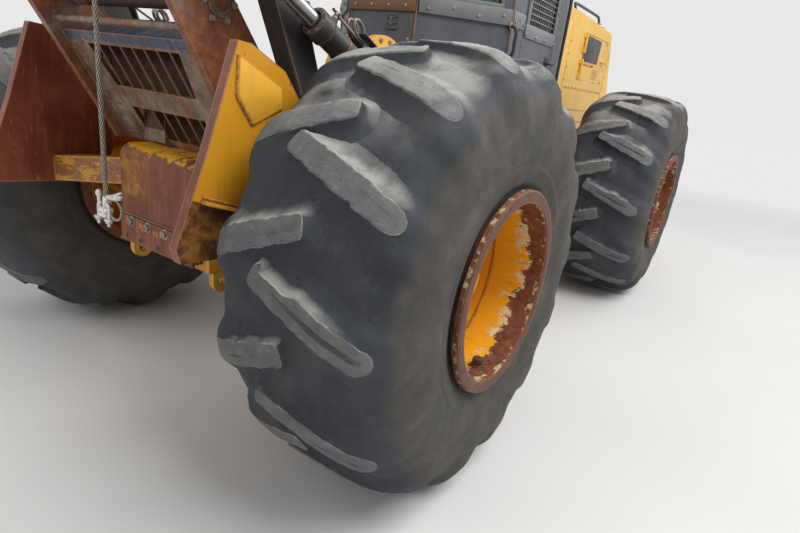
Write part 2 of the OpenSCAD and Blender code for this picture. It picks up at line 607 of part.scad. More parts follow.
// Front frame
nose_x = 1040;
front_rail = [[-rail_end, frame_z0], [-notch_x - 150, frame_z0], [-notch_x, saddle_z], [notch_x, saddle_z],
  [notch_x + 150, frame_z0], [nose_x, frame_z0 + 60], [nose_x, frame_z1], [-rail_end, frame_z1]];
blade_pivot = [520, 800];
blade_cyl_base = [1100, 1330];
blade_cyl_pin = [1530, 560];
blade_cyl_y = 330;
blade_barrel_r = 46;
arm_y = frame_y + 40;
module front_frame() color("goldenrod") {
  front() {
    both_sides() plate_y(front_rail, frame_y - rail_t, rail_t);
    block(-rail_end, -rail_end + 40, -frame_y, frame_y, frame_z0, frame_z1);
    block(-rail_end, -notch_x - 150, -frame_y + rail_t, frame_y - rail_t, frame_z0, frame_z0 + 20);
    block(nose_x - 40, nose_x, -arm_y + side_gap, arm_y - side_gap, 900, 1400);
    block(nose_x - 40, nose_x, -frame_y, frame_y, frame_z0 + 60, 901);
    both_sides() rod_y(blade_pivot[0], blade_pivot[1], 75, frame_y - e, arm_y - side_gap);
    both_sides() rod_y(blade_pivot[0], blade_pivot[1], 38, frame_y, arm_y + 62);
    for (y = [-blade_cyl_y, blade_cyl_y]) translate([blade_cyl_base[0], y, blade_cyl_base[1]]) {
      base_ears(blade_barrel_r, 14, 52, 26);
      both_sides() block(-61, 0, blade_barrel_r + eye_gap, blade_barrel_r + eye_gap + 14, -52, 52);
    }
    // Cross members that carry the cab and the engine
    block(-1180, -1100, -cab_y + 60, cab_y - 60, frame_z1, cab_z0);
    both_sides() block(-2200, -1010, 250, 310, frame_z1 + 12, cab_z0);
    // Seats of the steering cylinders' rod eyes
    both_sides() steer_rod_seat();
  }
  translate([hinge_x, 0, 0]) for (z = hinge_z) translate([0, 0, z - lug_half]) linear_extrude(lug_t)
    mirror([1, 0]) ear_plan();
}
// Two ears on the nose for a tow pin
tow_bore_r = 26;
tow_ear_t = 25;
module tow_ears() color("goldenrod") front() for (z = [frame_z0 + 110, frame_z0 + 200]) difference() {
  block(nose_x, nose_x + 120, -90, 90, z, z + tow_ear_t);
  rod_z(nose_x + 70, 0, tow_bore_r, z - e, z + tow_ear_t + e);
}

// Steering cylinders lie level beside the hinge: points [x, y] from the hinge
steer_base = [-900, 520];
steer_pin = [60, 240];
steer_barrel_r = 40;
steer_z = 990;
steer_reach = norm(steer_pin - steer_base);
module steer_base_seat() translate([half_base, 0, steer_z]) {
  for (z = [-steer_barrel_r - eye_gap - 16, steer_barrel_r + eye_gap]) translate([0, 0,
    z]) linear_extrude(16)
    polygon([[steer_base[0] - 120, frame_y - e], [steer_base[0] + 120, frame_y - e],
      [steer_base[0] + 45, steer_base[1] + 40], [steer_base[0] - 45, steer_base[1] + 40]]);
  rod_z(steer_base[0], steer_base[1], 24, -steer_barrel_r - eye_gap, steer_barrel_r + eye_gap);
}
module steer_rod_seat() translate([-half_base, 0, steer_z]) for (z = [-57, 41]) translate([0, 0, z])
  linear_extrude(16) polygon([[steer_pin[0] - 50, steer_pin[1] - 40], [frame_end + e, 160],
    [frame_end + e, 320],
    [steer_pin[0] + 30, steer_pin[1] + 60], [steer_pin[0] - 50, steer_pin[1] + 60]]);
steer_turn = atan2(steer_pin[1] - steer_base[1], steer_pin[0] - steer_base[0]);
module steer(s) translate([hinge_x + steer_base[0], s * steer_base[1], steer_z]) rotate([0, 0,
  s * steer_turn])
  rotate([90, 0, 0]) children();
module steer_barrel(s) color("dimgray") steer(s) barrel(620, steer_barrel_r, 24, 2 * steer_barrel_r, 24);
module steer_rod(s) color("silver") steer(s) rod(steer_reach, 600, 24, 40, 70);
module steer_barrel_left() steer_barrel(1);
module steer_barrel_right() steer_barrel(-1);
module steer_rod_left() steer_rod(1);
module steer_rod_right() steer_rod(-1);

// Engine and hood: points [x, z] from the front axle
hood_x0 = -850;
hood_z0 = 1420;
hood_z1 = 2570;
hood_side = [[hood_x0, hood_z0], [1330, hood_z0], [1340, 1750], [980, 2500], [900, hood_z1 - 40],
  [-200, hood_z1],
  [hood_x0, hood_z1]];
hood_bore = [[hood_x0 - e, hood_z0 - e], [1400, hood_z0 - e], [1400, 1746], [968, 2480],
  [892, hood_z1 - 40 - hood_t],
  [-200, hood_z1 - hood_t], [hood_x0 - e, hood_z1 - hood_t]];
edoor_x = [60, 900];
edoor_z = [1985, 2430];
edoor_hinge_z = [2090, 2330];
module hood() color("gold") front() {
  difference() {
    plate_y(hood_side, -hood_y, 2 * hood_y);
    plate_y(hood_bore, -hood_y + hood_t, 2 * (hood_y - hood_t));
    both_sides() block(edoor_x[0], edoor_x[1], hood_y - hood_t - e, hood_y + e, edoor_z[0], edoor_z[1]);
  }
  both_sides() for (z = edoor_hinge_z) hinge_fixed(edoor_x[0] - 4, hood_y, z);
  block(hood_x0, nose_x, -hood_y + hood_t - e, -frame_y - 25, hood_z0, hood_z0 + 20);
  block(hood_x0, nose_x, frame_y + 25, hood_y - hood_t + e, hood_z0, hood_z0 + 20);
  // Feet that stand the hood on the frame
  for (x = [-700, 700]) both_sides() plate_x([[frame_y - 40, frame_z1], [frame_y, frame_z1],
    [frame_y + 60, hood_z0 + 5], [frame_y, hood_z0 + 5]], x, 80);
  block(-700, -620, -frame_y - 30, frame_y + 30, hood_z0, hood_z0 + 20);
  block(700, 780, -frame_y - 30, frame_y + 30, hood_z0, hood_z0 + 20);
}
grille_bars = 14;
module grille() color("black") front() intersection() {
  union() {
    for (i = [0 : grille_bars]) {
      z = 1450 + i * 72;
      block(900, 1400, -hood_y + hood_t + fit_gap, hood_y - hood_t - fit_gap, z, z + 16);
    }
    for (y = [-440 : 220 : 440]) block(900, 1400, y - 8, y + 8, 1440, 2500);
    both_sides() block(900, 1400, hood_y - hood_t - 30, hood_y - hood_t - fit_gap, 1440, 2500);
  }
  plate_y([[1275, 1440], [1325, 1440], [1335, 1745], [985, 2440], [935, 2440],
    [1285, 1735]], -hood_y, 2 * hood_y);
}
module edoor(s) color("gold") front() {
  y0 = hood_y - hood_t;
  mirror([0, s < 0 ? 1 : 0, 0]) {
    block(edoor_x[0] + 6, edoor_x[1] - 6, y0, hood_y, edoor_z[0] + 6, edoor_z[1] - 6);
    for (z = edoor_hinge_z) hinge_moving(edoor_x[0] - 4, hood_y, z);
  }
}
module engine_door_left() edoor(1);
module engine_door_right() edoor(-1);
module engine_block() color("darkslategray") front() {
  block(-420, 620, -300, 300, frame_z1 + 40, 2250);
  both_sides() block(-300, -220, 260, frame_y, frame_z1, frame_z1 + 60);
  both_sides() block(400, 480, 260, frame_y, frame_z1, frame_z1 + 60);
}
module exhaust_stack() color("dimgray") front() {
  rod_z(-350, -330, 75, hood_z1, hood_z1 + 420);
  rod_z(-350, -330, 45, hood_z1 + 400, hood_z1 + 560);
}
module air_cleaner() color("black") front() {
  rod_z(-350, 330, 70, hood_z1, hood_z1 + 240);
  rod_z(-350, 330, 130, hood_z1 + 220, hood_z1 + 330);
}

// Cab: points from the rear axle, a narrow rear wall with slanting corners
cab_x = [1170, 1640, 2690];
cab_plan = [[cab_x[0], -cab_rear_y], [cab_x[1], -cab_y], [cab_x[2], -cab_y], [cab_x[2], cab_y],
  [cab_x[1], cab_y], [cab_x[0], cab_rear_y]];
cab_inner = [[cab_x[0] + wall_t, -cab_rear_y + 16], [cab_x[1] + 16, -cab_y + wall_t],
  [cab_x[2] - wall_t, -cab_y + wall_t], [cab_x[2] - wall_t, cab_y - wall_t],
    [cab_x[1] + 16, cab_y - wall_t],
  [cab_x[0] + wall_t, cab_rear_y - 16]];
sill_z = 2215;
window_z1 = 2960;
door_x = [1850, 2500];
door_z = [1640, 2985];
door_hinge_z = [1850, 2750];
corner_a = atan2(cab_y - cab_rear_y, cab_x[1] - cab_x[0]);
corner_len = norm([cab_y - cab_rear_y, cab_x[1] - cab_x[0]]);
module corner_frame() translate([cab_x[0], cab_rear_y, 0]) rotate([0, 0, corner_a]) children();
module cab_cuts() {
  block(cab_x[0] - e, cab_x[0] + wall_t + e, -cab_rear_y + 60, cab_rear_y - 60, sill_z, window_z1);
  both_sides() corner_frame() block(80, corner_len - 90, -wall_t - 10, 10, sill_z, window_z1);
  both_sides() block(door_x[0], door_x[1], cab_y - wall_t - e, cab_y + e, door_z[0], door_z[1]);
  block(cab_x[2] - wall_t - e, cab_x[2] + e, -cab_y + 110, cab_y - 110, 2620, window_z1);
}
module cab() color("darkslategray") rear() {
  difference() {
    plate_z(cab_plan, cab_z0, cab_z1 - cab_z0);
    plate_z(cab_inner, cab_z0 + wall_t, cab_z1 - cab_z0);
    cab_cuts();
    for (i = [0 : 2]) block(cab_x[0] - e, cab_x[0] + wall_t + e, -130, -50, 2075 + i * 35, 2090 + i * 35);
  }
  both_sides() for (z = door_hinge_z) hinge_fixed(door_x[0] - 4, cab_y, z);
}
glass_t = 8;
module cab_glass() color("teal") rear() {
  mid = wall_t / 2;
  block(cab_x[0] + mid, cab_x[0] + mid + glass_t, -cab_rear_y + 60, cab_rear_y - 60, sill_z, window_z1);
  both_sides() corner_frame() block(80, corner_len - 90, -mid - glass_t, -mid, sill_z, window_z1);
  block(cab_x[2] - mid - glass_t, cab_x[2] - mid, -cab_y + 110, cab_y - 110, 2620, window_z1);
}
roof_t = 90;
module cab_roof() color("gold") rear() plate_z([[cab_x[0] - 50, -cab_rear_y - 20],
  [cab_x[1] - 20, -cab_y - 30],
  [cab_x[2] + 160, -cab_y - 30], [cab_x[2] + 160, cab_y + 30], [cab_x[1] - 20, cab_y + 30],
  [cab_x[0] - 50, cab_rear_y + 20]], cab_z1, roof_t);
bar_t = 10;
module bar_panel(x0, x1, z0, z1, step) {
  difference() {
    block(x0, x1, 0, 18, z0, z1);
    block(x0 + 30, x1 - 30, -e, 19, z0 + 30, z1 - 30);
  }
  for (x = [x0 + 30 + step : step : x1 - 31]) block(x, x + bar_t, 4, 14, z0 + 20, z1 - 20);
  for (z = [z0 + 30 + step : step : z1 - 31]) block(x0 + 20, x1 - 20, 4, 14, z, z + bar_t);
}
guard_step = 110;
module cab_guards() color("black") rear() {
  both_sides() corner_frame() bar_panel(60, corner_len - 70, sill_z - 15, window_z1 + 10, guard_step);
  translate([cab_x[0], 0, 0]) rotate([0, 0, 90]) bar_panel(-cab_rear_y + 45, cab_rear_y - 45, sill_z - 15,
    window_z1 + 10, guard_step);
}
module lamp(x, y, d) {
  rod_x(y, cab_z1 - 75, 62, x - (d > 0 ? 0 : 70), x + (d > 0 ? 70 : 0));
  block(x - 12 + (d > 0 ? 20 : -20), x + 12 + (d > 0 ? 20 : -20), y - 15, y + 15, cab_z1 - 30, cab_z1);
}
module cab_lamps() color("white") rear() {
  for (y = [-560, -380, 380, 560]) lamp(cab_x[2] + 50, y, 1);
}
module seat() color("black") rear() {
  block(1700, 2150, -240, 240, cab_z0 + wall_t, cab_z0 + 300);
  block(1660, 2170, -260, 260, cab_z0 + 300, cab_z0 + 430);
  plate_y([[1600, cab_z0 + 400], [1730, cab_z0 + 400], [1680, cab_z0 + 1000],
    [1570, cab_z0 + 1000]], -250, 500);
}
module steering_console() color("black") rear() {
  plate_y([[2400, cab_z0 + wall_t], [2650, cab_z0 + wall_t], [2650, cab_z0 + 900],
    [2480, cab_z0 + 820]], -220, 440);
  translate([2420, 0, cab_z0 + 860]) rotate([0, -35, 0]) {
    rotate_extrude($fn = 48) translate([190, 0]) circle(15, $fn = 16);
    for (a = [0, 120, 240]) rotate([0, 0, a]) rod_x(0, 0, 9, 0, 190);
    cylinder(h = 30, r = 40, center = true);
  }
  translate([2420, 0, cab_z0 + 860]) rotate([0, -35, 0]) rod_z(0, 0, 25, -160, 0);
}
step_count = 3;
module steps() color("dimgray") rear() both_sides() {
  for (x = [1950, 2400]) plate_y([[x, 520], [x + 40, 520], [x + 40, cab_z0], [x, cab_z0]], 850, 30);
  for (i = [0 : step_count - 1]) block(1950, 2440, 800, 990, 540 + i * 260, 570 + i * 260);
  for (x = [1950, 2400]) block(x, x + 40, cab_y - 150, 880, cab_z0 - 60, cab_z0 - fit_gap);
}
module side_tanks() color("goldenrod") rear() both_sides() difference() {
  block(2490, 2680, frame_y, cab_y - 160, 860, frame_z1);
  block(2490 - e, 2680 + e, frame_y - e, frame_y + 20, 900, 1085);
}

// Doors: a frame with a lower panel and a barred window
module door(s) color("gray") rear() mirror([0, s < 0 ? 1 : 0, 0]) {
  x0 = door_x[0] + 6;
  x1 = door_x[1] - 6;
  z0 = door_z[0] + 6;
  z1 = door_z[1] - 6;
  difference() {
    block(x0, x1, cab_y - wall_t, cab_y, z0, z1);
    block(x0 + 50, x1 - 50, cab_y - wall_t - e, cab_y + e, sill_z, z1 - 50);
  }
  for (x = [x0 + 50 + guard_step : guard_step : x1 - 60]) block(x, x + bar_t, cab_y - 25, cab_y - 15,
    sill_z - 5, z1 - 45);
  for (z = [sill_z + guard_step : guard_step : z1 - 60]) block(x0 + 45, x1 - 45, cab_y - 25,
    cab_y - 15, z, z + bar_t);
  for (z = door_hinge_z) hinge_moving(door_x[0] - 4, cab_y, z);
}
module door_left() door(1);
module door_right() door(-1);

// Blade with its arms: points [x, z] from the front axle
blade_cx = front_reach - blade_t / 2 + sqrt(pow(blade_r, 2) - pow(blade_h / 2, 2)) - 10;
module blade() color("goldenrod") front() {
  intersection() {
    difference() {
      rod_y(blade_cx, blade_z0 + blade_h / 2, blade_r, -blade_w / 2, blade_w / 2, $fn = 120);
      rod_y(blade_cx, blade_z0 + blade_h / 2, blade_r - blade_t, -blade_w / 2 - e, blade_w / 2 + e,
        $fn = 120);
    }
    block(1500, front_reach, -blade_w / 2 - e, blade_w / 2 + e, blade_z0, blade_z0 + blade_h);
  }
  difference() {
    both_sides() union() {
      plate_y([[blade_pivot[0] - 10, blade_pivot[1] - 75], [blade_pivot[0], blade_pivot[1] + 75],
        [1300, 740], [1672, 800], [1612, 560], [1612, 440], [1640, 300], [1200, 480]], arm_y, 55);
      rod_y(blade_pivot[0], blade_pivot[1], 85, arm_y, arm_y + 55);
    }
    both_sides() rod_y(blade_pivot[0], blade_pivot[1], 38 + fit_gap, arm_y - 10, arm_y + 80);
  }
  // Ears at the lift cylinders' rod eyes
  for (y = [-blade_cyl_y, blade_cyl_y], s = [-1, 1])
    plate_y([[1498, 520], [1490, 580], [1530, 610], [1615, 660], [1612, 430],
      [1540, 500]], y + s * 47 - 8, 16);
}
blade_cyl_reach = span(blade_cyl_base, blade_cyl_pin);
module blade_cylinder_barrels() color("dimgray") front() for (s = [-1, 1])
  along(blade_cyl_base, blade_cyl_pin, s * blade_cyl_y) barrel(530, blade_barrel_r, 26,
    2 * blade_barrel_r, 26);
module blade_cylinder_rods() color("silver") front() for (s = [-1, 1])
  along(blade_cyl_base, blade_cyl_pin, s * blade_cyl_y) rod(blade_cyl_reach, 510, 26, 40, 60);

// Wheels: y runs outboard from the wheel's middle plane
flange_y = tyre_w / 2 - 10;
module rim_form() rotate([90, 0, 0]) mirror([0, 0, 1]) rotate_extrude($fn = 96) polygon([
  [spindle_r + fit_gap, disc_offset - 110], [hub_r - 30, disc_offset - 110], [hub_r - 20, disc_offset - 12],
  [rim_r - rim_t + e, disc_offset - 12], [rim_r - rim_t, -flange_y], [flange_r, -flange_y],
  [flange_r, -flange_y + 20], [rim_r, -flange_y + 40], [rim_r, flange_y - 40], [flange_r, flange_y - 20],
  [flange_r, flange_y], [rim_r - rim_t, flange_y], [rim_r - rim_t + e, disc_offset + 12],
  [hub_r, disc_offset + 12], [hub_r - 15, disc_offset + 150], [110, disc_offset + 170],
  [100, disc_offset + 200], [0, disc_offset + 200], [0, disc_offset + 101],
  [spindle_r + fit_gap, disc_offset + 101]]);

// Tyre as one grid of rings and columns. Each ring row is [y, radius in a gap, radius on a lug]
cols = 4 * lug_count;
pitch = 360 / lug_count;
// Width of a lug round the wheel as a share of the pitch, and the angle of the first outboard lug
lug_share = 0.36;
lug_phase = 19;
tread_r = tyre_r - lug_h;
// The widest facets are as wide as a lug, and still clear the round rim
seat_r = (rim_r + fit_gap) / cos(pitch * lug_share / 2);
half_w = tyre_w / 2;
// The lugs of each side reach a little past the middle of the tread, between those of the other side
lug_past = 55;
ring_rows = [
  [-half_w + 55, seat_r, seat_r], [-half_w + 32, flange_r + 8, flange_r + 8], [-half_w, 660, 660],
  [-half_w + 18, tread_r - 34, tyre_r - 12], [-lug_past - 16, tread_r, tyre_r],
    [-lug_past, tread_r, tyre_r],
  [lug_past, tread_r, tyre_r], [lug_past + 16, tread_r, tyre_r], [half_w - 18, tread_r - 34, tyre_r - 12],
  [half_w, 660, 660], [half_w - 32, flange_r + 8, flange_r + 8], [half_w - 55, seat_r, seat_r]];
// Outboard lugs use the first two columns of each pitch and inboard lugs the other two
function col_place(k) = let (m = k % 4) (m < 2 ? 0 : 0.5) + (m % 2 == 0 ? -1 : 1) * lug_share / 2;
function on_lug(y, k) = let (m = k % 4) m < 2 ? y > -lug_past - 1 : y < lug_past + 1;
function ring_point(row, k) = let (
  a = lug_phase + pitch * (floor(k / 4) + col_place(k)) + lug_slant * abs(row[0]) / half_w,
  r = on_lug(row[0], k) ? row[2] : row[1]) [r * cos(a), row[0], r * sin(a)];
module tyre_form() {
  n = len(ring_rows);
  polyhedron(points = [for (row = ring_rows, k = [0 : cols - 1]) ring_point(row, k)],
    faces = [for (i = [0 : n - 1], k = [0 : cols - 1], h = [0, 1]) let (
      a = i * cols + k, b = i * cols + (k + 1) % cols,
      c = ((i + 1) % n) * cols + (k + 1) % cols, d = ((i + 1) % n) * cols + k)
      h == 0 ? [a, d, c] : [a, c, b]]);
}
module wheel_at(x, s) translate([x, s * track / 2, axle_z]) mirror([0, s < 0 ? 1 : 0, 0]) children();
module rim(x, s) color("goldenrod") wheel_at(x, s) rim_form();
module tyre(x, s) color("darkslategray") wheel_at(x, s) tyre_form();
module rim_rear_left() rim(rear_x, 1);
module rim_rear_right() rim(rear_x, -1);
module rim_front_left() rim(front_x, 1);
module rim_front_right() rim(front_x, -1);
module tyre_rear_left() tyre(rear_x, 1);
module tyre_rear_right() tyre(rear_x, -1);
module tyre_front_left() tyre(front_x, 1);
module tyre_front_right() tyre(front_x, -1);

rear_frame();
tie_lugs();
hinge_pins();
rear_axle();
butt_plate();
wing_plates();
fairlead_tower();
fairlead_rollers();
winch();
winch_rope();
rope_fittings();
arch();
arch_cylinder_barrels();
arch_cylinder_rods();
boom();
boom_cylinder_barrels();
boom_cylinder_rods();
grapple_link();
grapple_head();
tong_left();
tong_right();
tong_cylinder_barrel();
tong_cylinder_rod();
front_frame();
tow_ears();
front_axle();
engine_block();
hood();
grille();
cab();
cab_glass();
cab_roof();
cab_guards();
cab_lamps();
seat();
steering_console();
exhaust_stack();
air_cleaner();
steps();
side_tanks();
door_left();
door_right();
engine_door_left();
engine_door_right();
blade();
blade_cylinder_barrels();
blade_cylinder_rods();
steer_barrel_left();
steer_rod_left();
steer_barrel_right();
steer_rod_right();
rim_rear_left();
rim_rear_right();
rim_front_left();
rim_front_right();
tyre_rear_left();
tyre_rear_right();
tyre_front_left();
tyre_front_right();
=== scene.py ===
import math

import bmesh
import bpy
import numpy as np
from mathutils import Matrix, Vector


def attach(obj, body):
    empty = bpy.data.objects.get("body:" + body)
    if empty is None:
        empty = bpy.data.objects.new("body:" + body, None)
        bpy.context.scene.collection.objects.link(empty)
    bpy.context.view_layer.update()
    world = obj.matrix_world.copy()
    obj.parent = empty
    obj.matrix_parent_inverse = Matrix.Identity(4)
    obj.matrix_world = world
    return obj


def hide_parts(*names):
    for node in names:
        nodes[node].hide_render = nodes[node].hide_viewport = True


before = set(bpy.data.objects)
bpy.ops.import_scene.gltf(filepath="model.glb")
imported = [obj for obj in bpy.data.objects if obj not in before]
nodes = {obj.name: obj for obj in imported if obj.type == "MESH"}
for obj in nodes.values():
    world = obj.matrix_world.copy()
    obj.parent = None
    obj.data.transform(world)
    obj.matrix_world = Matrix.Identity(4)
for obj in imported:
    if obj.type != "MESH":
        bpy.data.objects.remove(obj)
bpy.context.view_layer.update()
rng = np.random.RandomState(7)

# Places in the row frame, in metres
REAR_X, FRONT_X, HINGE_X = -1.5875, 2.1125, 0.2625
HALF_TRACK, AXLE_Z, TYRE_R, TYRE_HALF = 1.28, 0.96, 0.96, 0.42
# Lugs on each side of a tyre, their pitch, first angle and slant, in degrees
LUGS, PITCH, PHASE, SLANT = 14, 360 / 14, 19.0, 9.5
TOWER_LEAN = 0.62   # how far the tower goes forward for each metre down
UP = Vector((0, 0, 1))


# ---------------------------------------------------------------- camera
def add_camera():
    """The photo's view, fitted to the near rim, the tyres' outlines and corners of tower and wing plate."""
    yaw, pitch, roll = math.radians(32.273), math.radians(18.474), math.radians(-7.02)
    cy, sy, cp, sp = math.cos(yaw), math.sin(yaw), math.cos(pitch), math.sin(pitch)
    fwd, right = Vector((cy * cp, sy * cp, -sp)), Vector((sy, -cy, 0))
    down = fwd.cross(right)
    r = math.cos(roll) * right + math.sin(roll) * down
    d = -math.sin(roll) * right + math.cos(roll) * down
    cam = bpy.data.objects.new("camera", bpy.data.cameras.new("camera"))
    bpy.context.scene.collection.objects.link(cam)
    rot = Matrix((r, -d, -fwd)).transposed().to_4x4()
    cam.matrix_world = Matrix.Translation((REAR_X - 2.066, -2.44, 1.738)) @ rot
    cam.data.sensor_fit, cam.data.sensor_width = "HORIZONTAL", 36
    cam.data.lens = 36 * 543.6 / 800
    cam.data.clip_start, cam.data.clip_end = 0.05, 500
    bpy.context.scene.camera = cam


add_camera()


# ---------------------------------------------------------------- mesh helpers
def new_object(name, verts, faces, mat, body, smooth=40.0, mats=None, face_mat=None):
    """A mesh object that rides a body; smooth is the angle in degrees above which an edge stays sharp."""
    me = bpy.data.meshes.new(name)
    me.from_pydata([tuple(v) for v in verts], [], [tuple(f) for f in faces])
    me.validate()
    for m in (mats or [mat]):
        me.materials.append(m)
    if face_mat is not None and len(face_mat) == len(me.polygons):
        me.polygons.foreach_set("material_index", face_mat)
    if smooth:
        me.shade_smooth()
        me.set_sharp_from_angle(angle=math.radians(smooth))
    ob = bpy.data.objects.new(name, me)
    bpy.context.scene.collection.objects.link(ob)
    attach(ob, body)
    return ob


def turned(prof, at, axis, sides, start=0.0):
    """Rings of points round an axis: prof holds (along the axis, radius)."""
    q, at = Vector((0, 0, 1)).rotation_difference(Vector(axis)).to_matrix(), Vector(at)
    angles = [2 * math.pi * k / sides + start for k in range(sides)]
    return [at + q @ Vector((r * math.cos(a), r * math.sin(a), z)) for z, r in prof for a in angles]


def skin(rows, sides, closed=False):
    """Quads between neighbouring rings, with an end on the first and last, or closed into a loop."""
    fs = [(i * sides + k, i * sides + (k + 1) % sides, (i + 1) % rows * sides + (k + 1) % sides,
           (i + 1) % rows * sides + k)
          for i in range(rows if closed else rows - 1) for k in range(sides)]
    return fs if closed else fs + [tuple(range(sides - 1, -1, -1)),
                                   tuple((rows - 1) * sides + k for k in range(sides))]


class Parts:
    """Collects many small closed shapes into one mesh; m is the index of a shape's material."""

    def __init__(self):
        self.v, self.f, self.m, self.g = [], [], [], []

    def add(self, verts, faces, m=0, groove=None):
        o = len(self.v)
        self.g += groove or [0.0] * len(verts)
        self.v += [tuple(p) for p in verts]
        self.f += [tuple(i + o for i in f) for f in faces]
        self.m += [m] * len(faces)

    def bm(self, bm, mat4=None, m=0):
        if mat4 is not None:
            bmesh.ops.transform(bm, matrix=mat4, verts=bm.verts)
        bm.verts.ensure_lookup_table()
        bm.verts.index_update()
        self.add([v.co.copy() for v in bm.verts], [[v.index for v in f.verts] for f in bm.faces], m)
        bm.free()

    def make(self, name, mats, body, slot, smooth=35.0):
        mats = mats if isinstance(mats, list) else [mats]
        ob = new_object(name, self.v, self.f, mats[0], body, smooth, mats, self.m)
        if any(self.g):
            ob.data.attributes.new("groove", "FLOAT", "POINT").data.foreach_set("value", self.g)
        return ob

    def box(self, lo, hi, bevel=0.003, m=0, mat4=None, seg=2):
        bm = bmesh.new()
        bmesh.ops.create_cube(bm, size=1)
        lo, hi = Vector(lo), Vector(hi)
        for v in bm.verts:
            v.co = Vector([(lo[i] + hi[i]) / 2 + v.co[i] * (hi[i] - lo[i]) for i in range(3)])
        if bevel:
            bmesh.ops.bevel(bm, geom=bm.edges[:], offset=bevel, segments=seg, affect="EDGES", profile=0.5)
        self.bm(bm, mat4, m)

    def tube(self, path, radius, sides=12, m=0, cap=True, wave=None):
        """A round bar along a path. wave gives the share that a point's radius grows by."""
        path = [Vector(p) for p in path]
        n = len(path)
        radii = radius if isinstance(radius, (list, tuple)) else [radius] * n
        t0 = (path[1] - path[0]).normalized()
        up = Vector((0, 0, 1)) if abs(t0.z) < 0.9 else Vector((0, 1, 0))
        side = t0.cross(up).normalized()
        vs, gs = [], []
        for i, p in enumerate(path):
            t = (path[min(i + 1, n - 1)] - path[max(i - 1, 0)]).normalized()
            side = (side - t * side.dot(t)).normalized()
            b = t.cross(side)
            for k in range(sides):
                a = 2 * math.pi * k / sides
                gs.append(wave(i, k) if wave else 0.0)
                rr = radii[i] * (1 + gs[-1])
                vs.append(p + side * math.cos(a) * rr + b * math.sin(a) * rr)
        fs = skin(n, sides)
        self.add(vs, fs if cap else fs[:-2], m, gs)

    def lathe(self, prof, at, axis, sides=24, m=0):
        """prof: (along the axis, radius) from one end to the other; both ends are flat."""
        self.add(turned(prof, at, axis, sides), skin(len(prof), sides), m)

    def bolt(self, at, axis, size=0.024, washer=True, m=0):
        """A hexagon head, turned at random, on a washer; size is the thread's diameter."""
        if washer:
            self.lathe([(-0.002, size), (0, size * 1.12), (size * 0.16, size * 1.12), (size * 0.2, size * 1.05)], at,
                       axis, 28, m)
        h0 = size * 0.18 if washer else 0
        head = [(h0 - 0.001, size * 0.82), (h0 + size * 0.1, size * 0.87), (h0 + size * 0.58, size * 0.87),
                (h0 + size * 0.66, size * 0.78)]
        self.add(turned(head, at, axis, 6, math.radians(rng.uniform(0, 60))), skin(len(head), 6), m)

    def weld(self, path, r=0.006, m=0):
        """An uneven bead along a path."""
        pts = dense([Vector(p) for p in path], r * 0.9)
        ph = rng.uniform(0, 6)
        self.tube(pts, r, 8, m, wave=lambda i, k: 0.16 * math.sin(i * 1.9 + ph) + rng.uniform(-0.08, 0.08))


def dense(path, step):
    """The same path with points no further apart than step."""
    out = []
    for a, b in zip(path, path[1:]):
        n = max(1, int(math.ceil((b - a).length / step)))
        out += [a + (b - a) * (i / n) for i in range(n)]
    return out + [path[-1]]


def smooth_path(pts, step):
    """Catmull-Rom through the points, resampled."""
    p = [Vector(q) for q in pts]
    p = [p[0] * 2 - p[1]] + p + [p[-1] * 2 - p[-2]]
    out = []
    for i in range(1, len(p) - 2):
        n = max(2, int(math.ceil((p[i + 1] - p[i]).length / step)))
        for k in range(n):
            t = k / n
            out.append(0.5 * ((2 * p[i]) + (p[i + 1] - p[i - 1]) * t
                              + (2 * p[i - 1] - 5 * p[i] + 4 * p[i + 1] - p[i + 2]) * t * t
                              + (3 * p[i] - p[i - 1] - 3 * p[i + 1] + p[i + 2]) * t ** 3))
    return out + [p[-2]]


# ---------------------------------------------------------------- materials
class Val:
    """A value inside a material: arithmetic on it adds maths nodes."""

    def __init__(self, m, sock):
        self.m, self.sock = m, sock

    def __add__(self, other):
        return self.m.math("ADD", self, other)

    def __sub__(self, other):
        return self.m.math("SUBTRACT", self, other)

    def __rsub__(self, other):
        return self.m.math("SUBTRACT", other, self)

    def __mul__(self, other):
        return self.m.math("MULTIPLY", self, other)

    def __abs__(self):
        return self.m.math("ABSOLUTE", self)

    def step(self, a, b):
        """0 below a, 1 above b (or the other way round where a is above b)."""
        return self.m.made("MapRange", 0, {"Value": self, "From Min": a, "From Max": b})

    def between(self, lo, hi):
        """The usual spread of a pattern, from 0.3 to 0.7, brought to lo and hi."""
        return self.m.made("MapRange", 0,
                           {"Value": self, "From Min": 0.3, "From Max": 0.7, "To Min": lo, "To Max": hi})


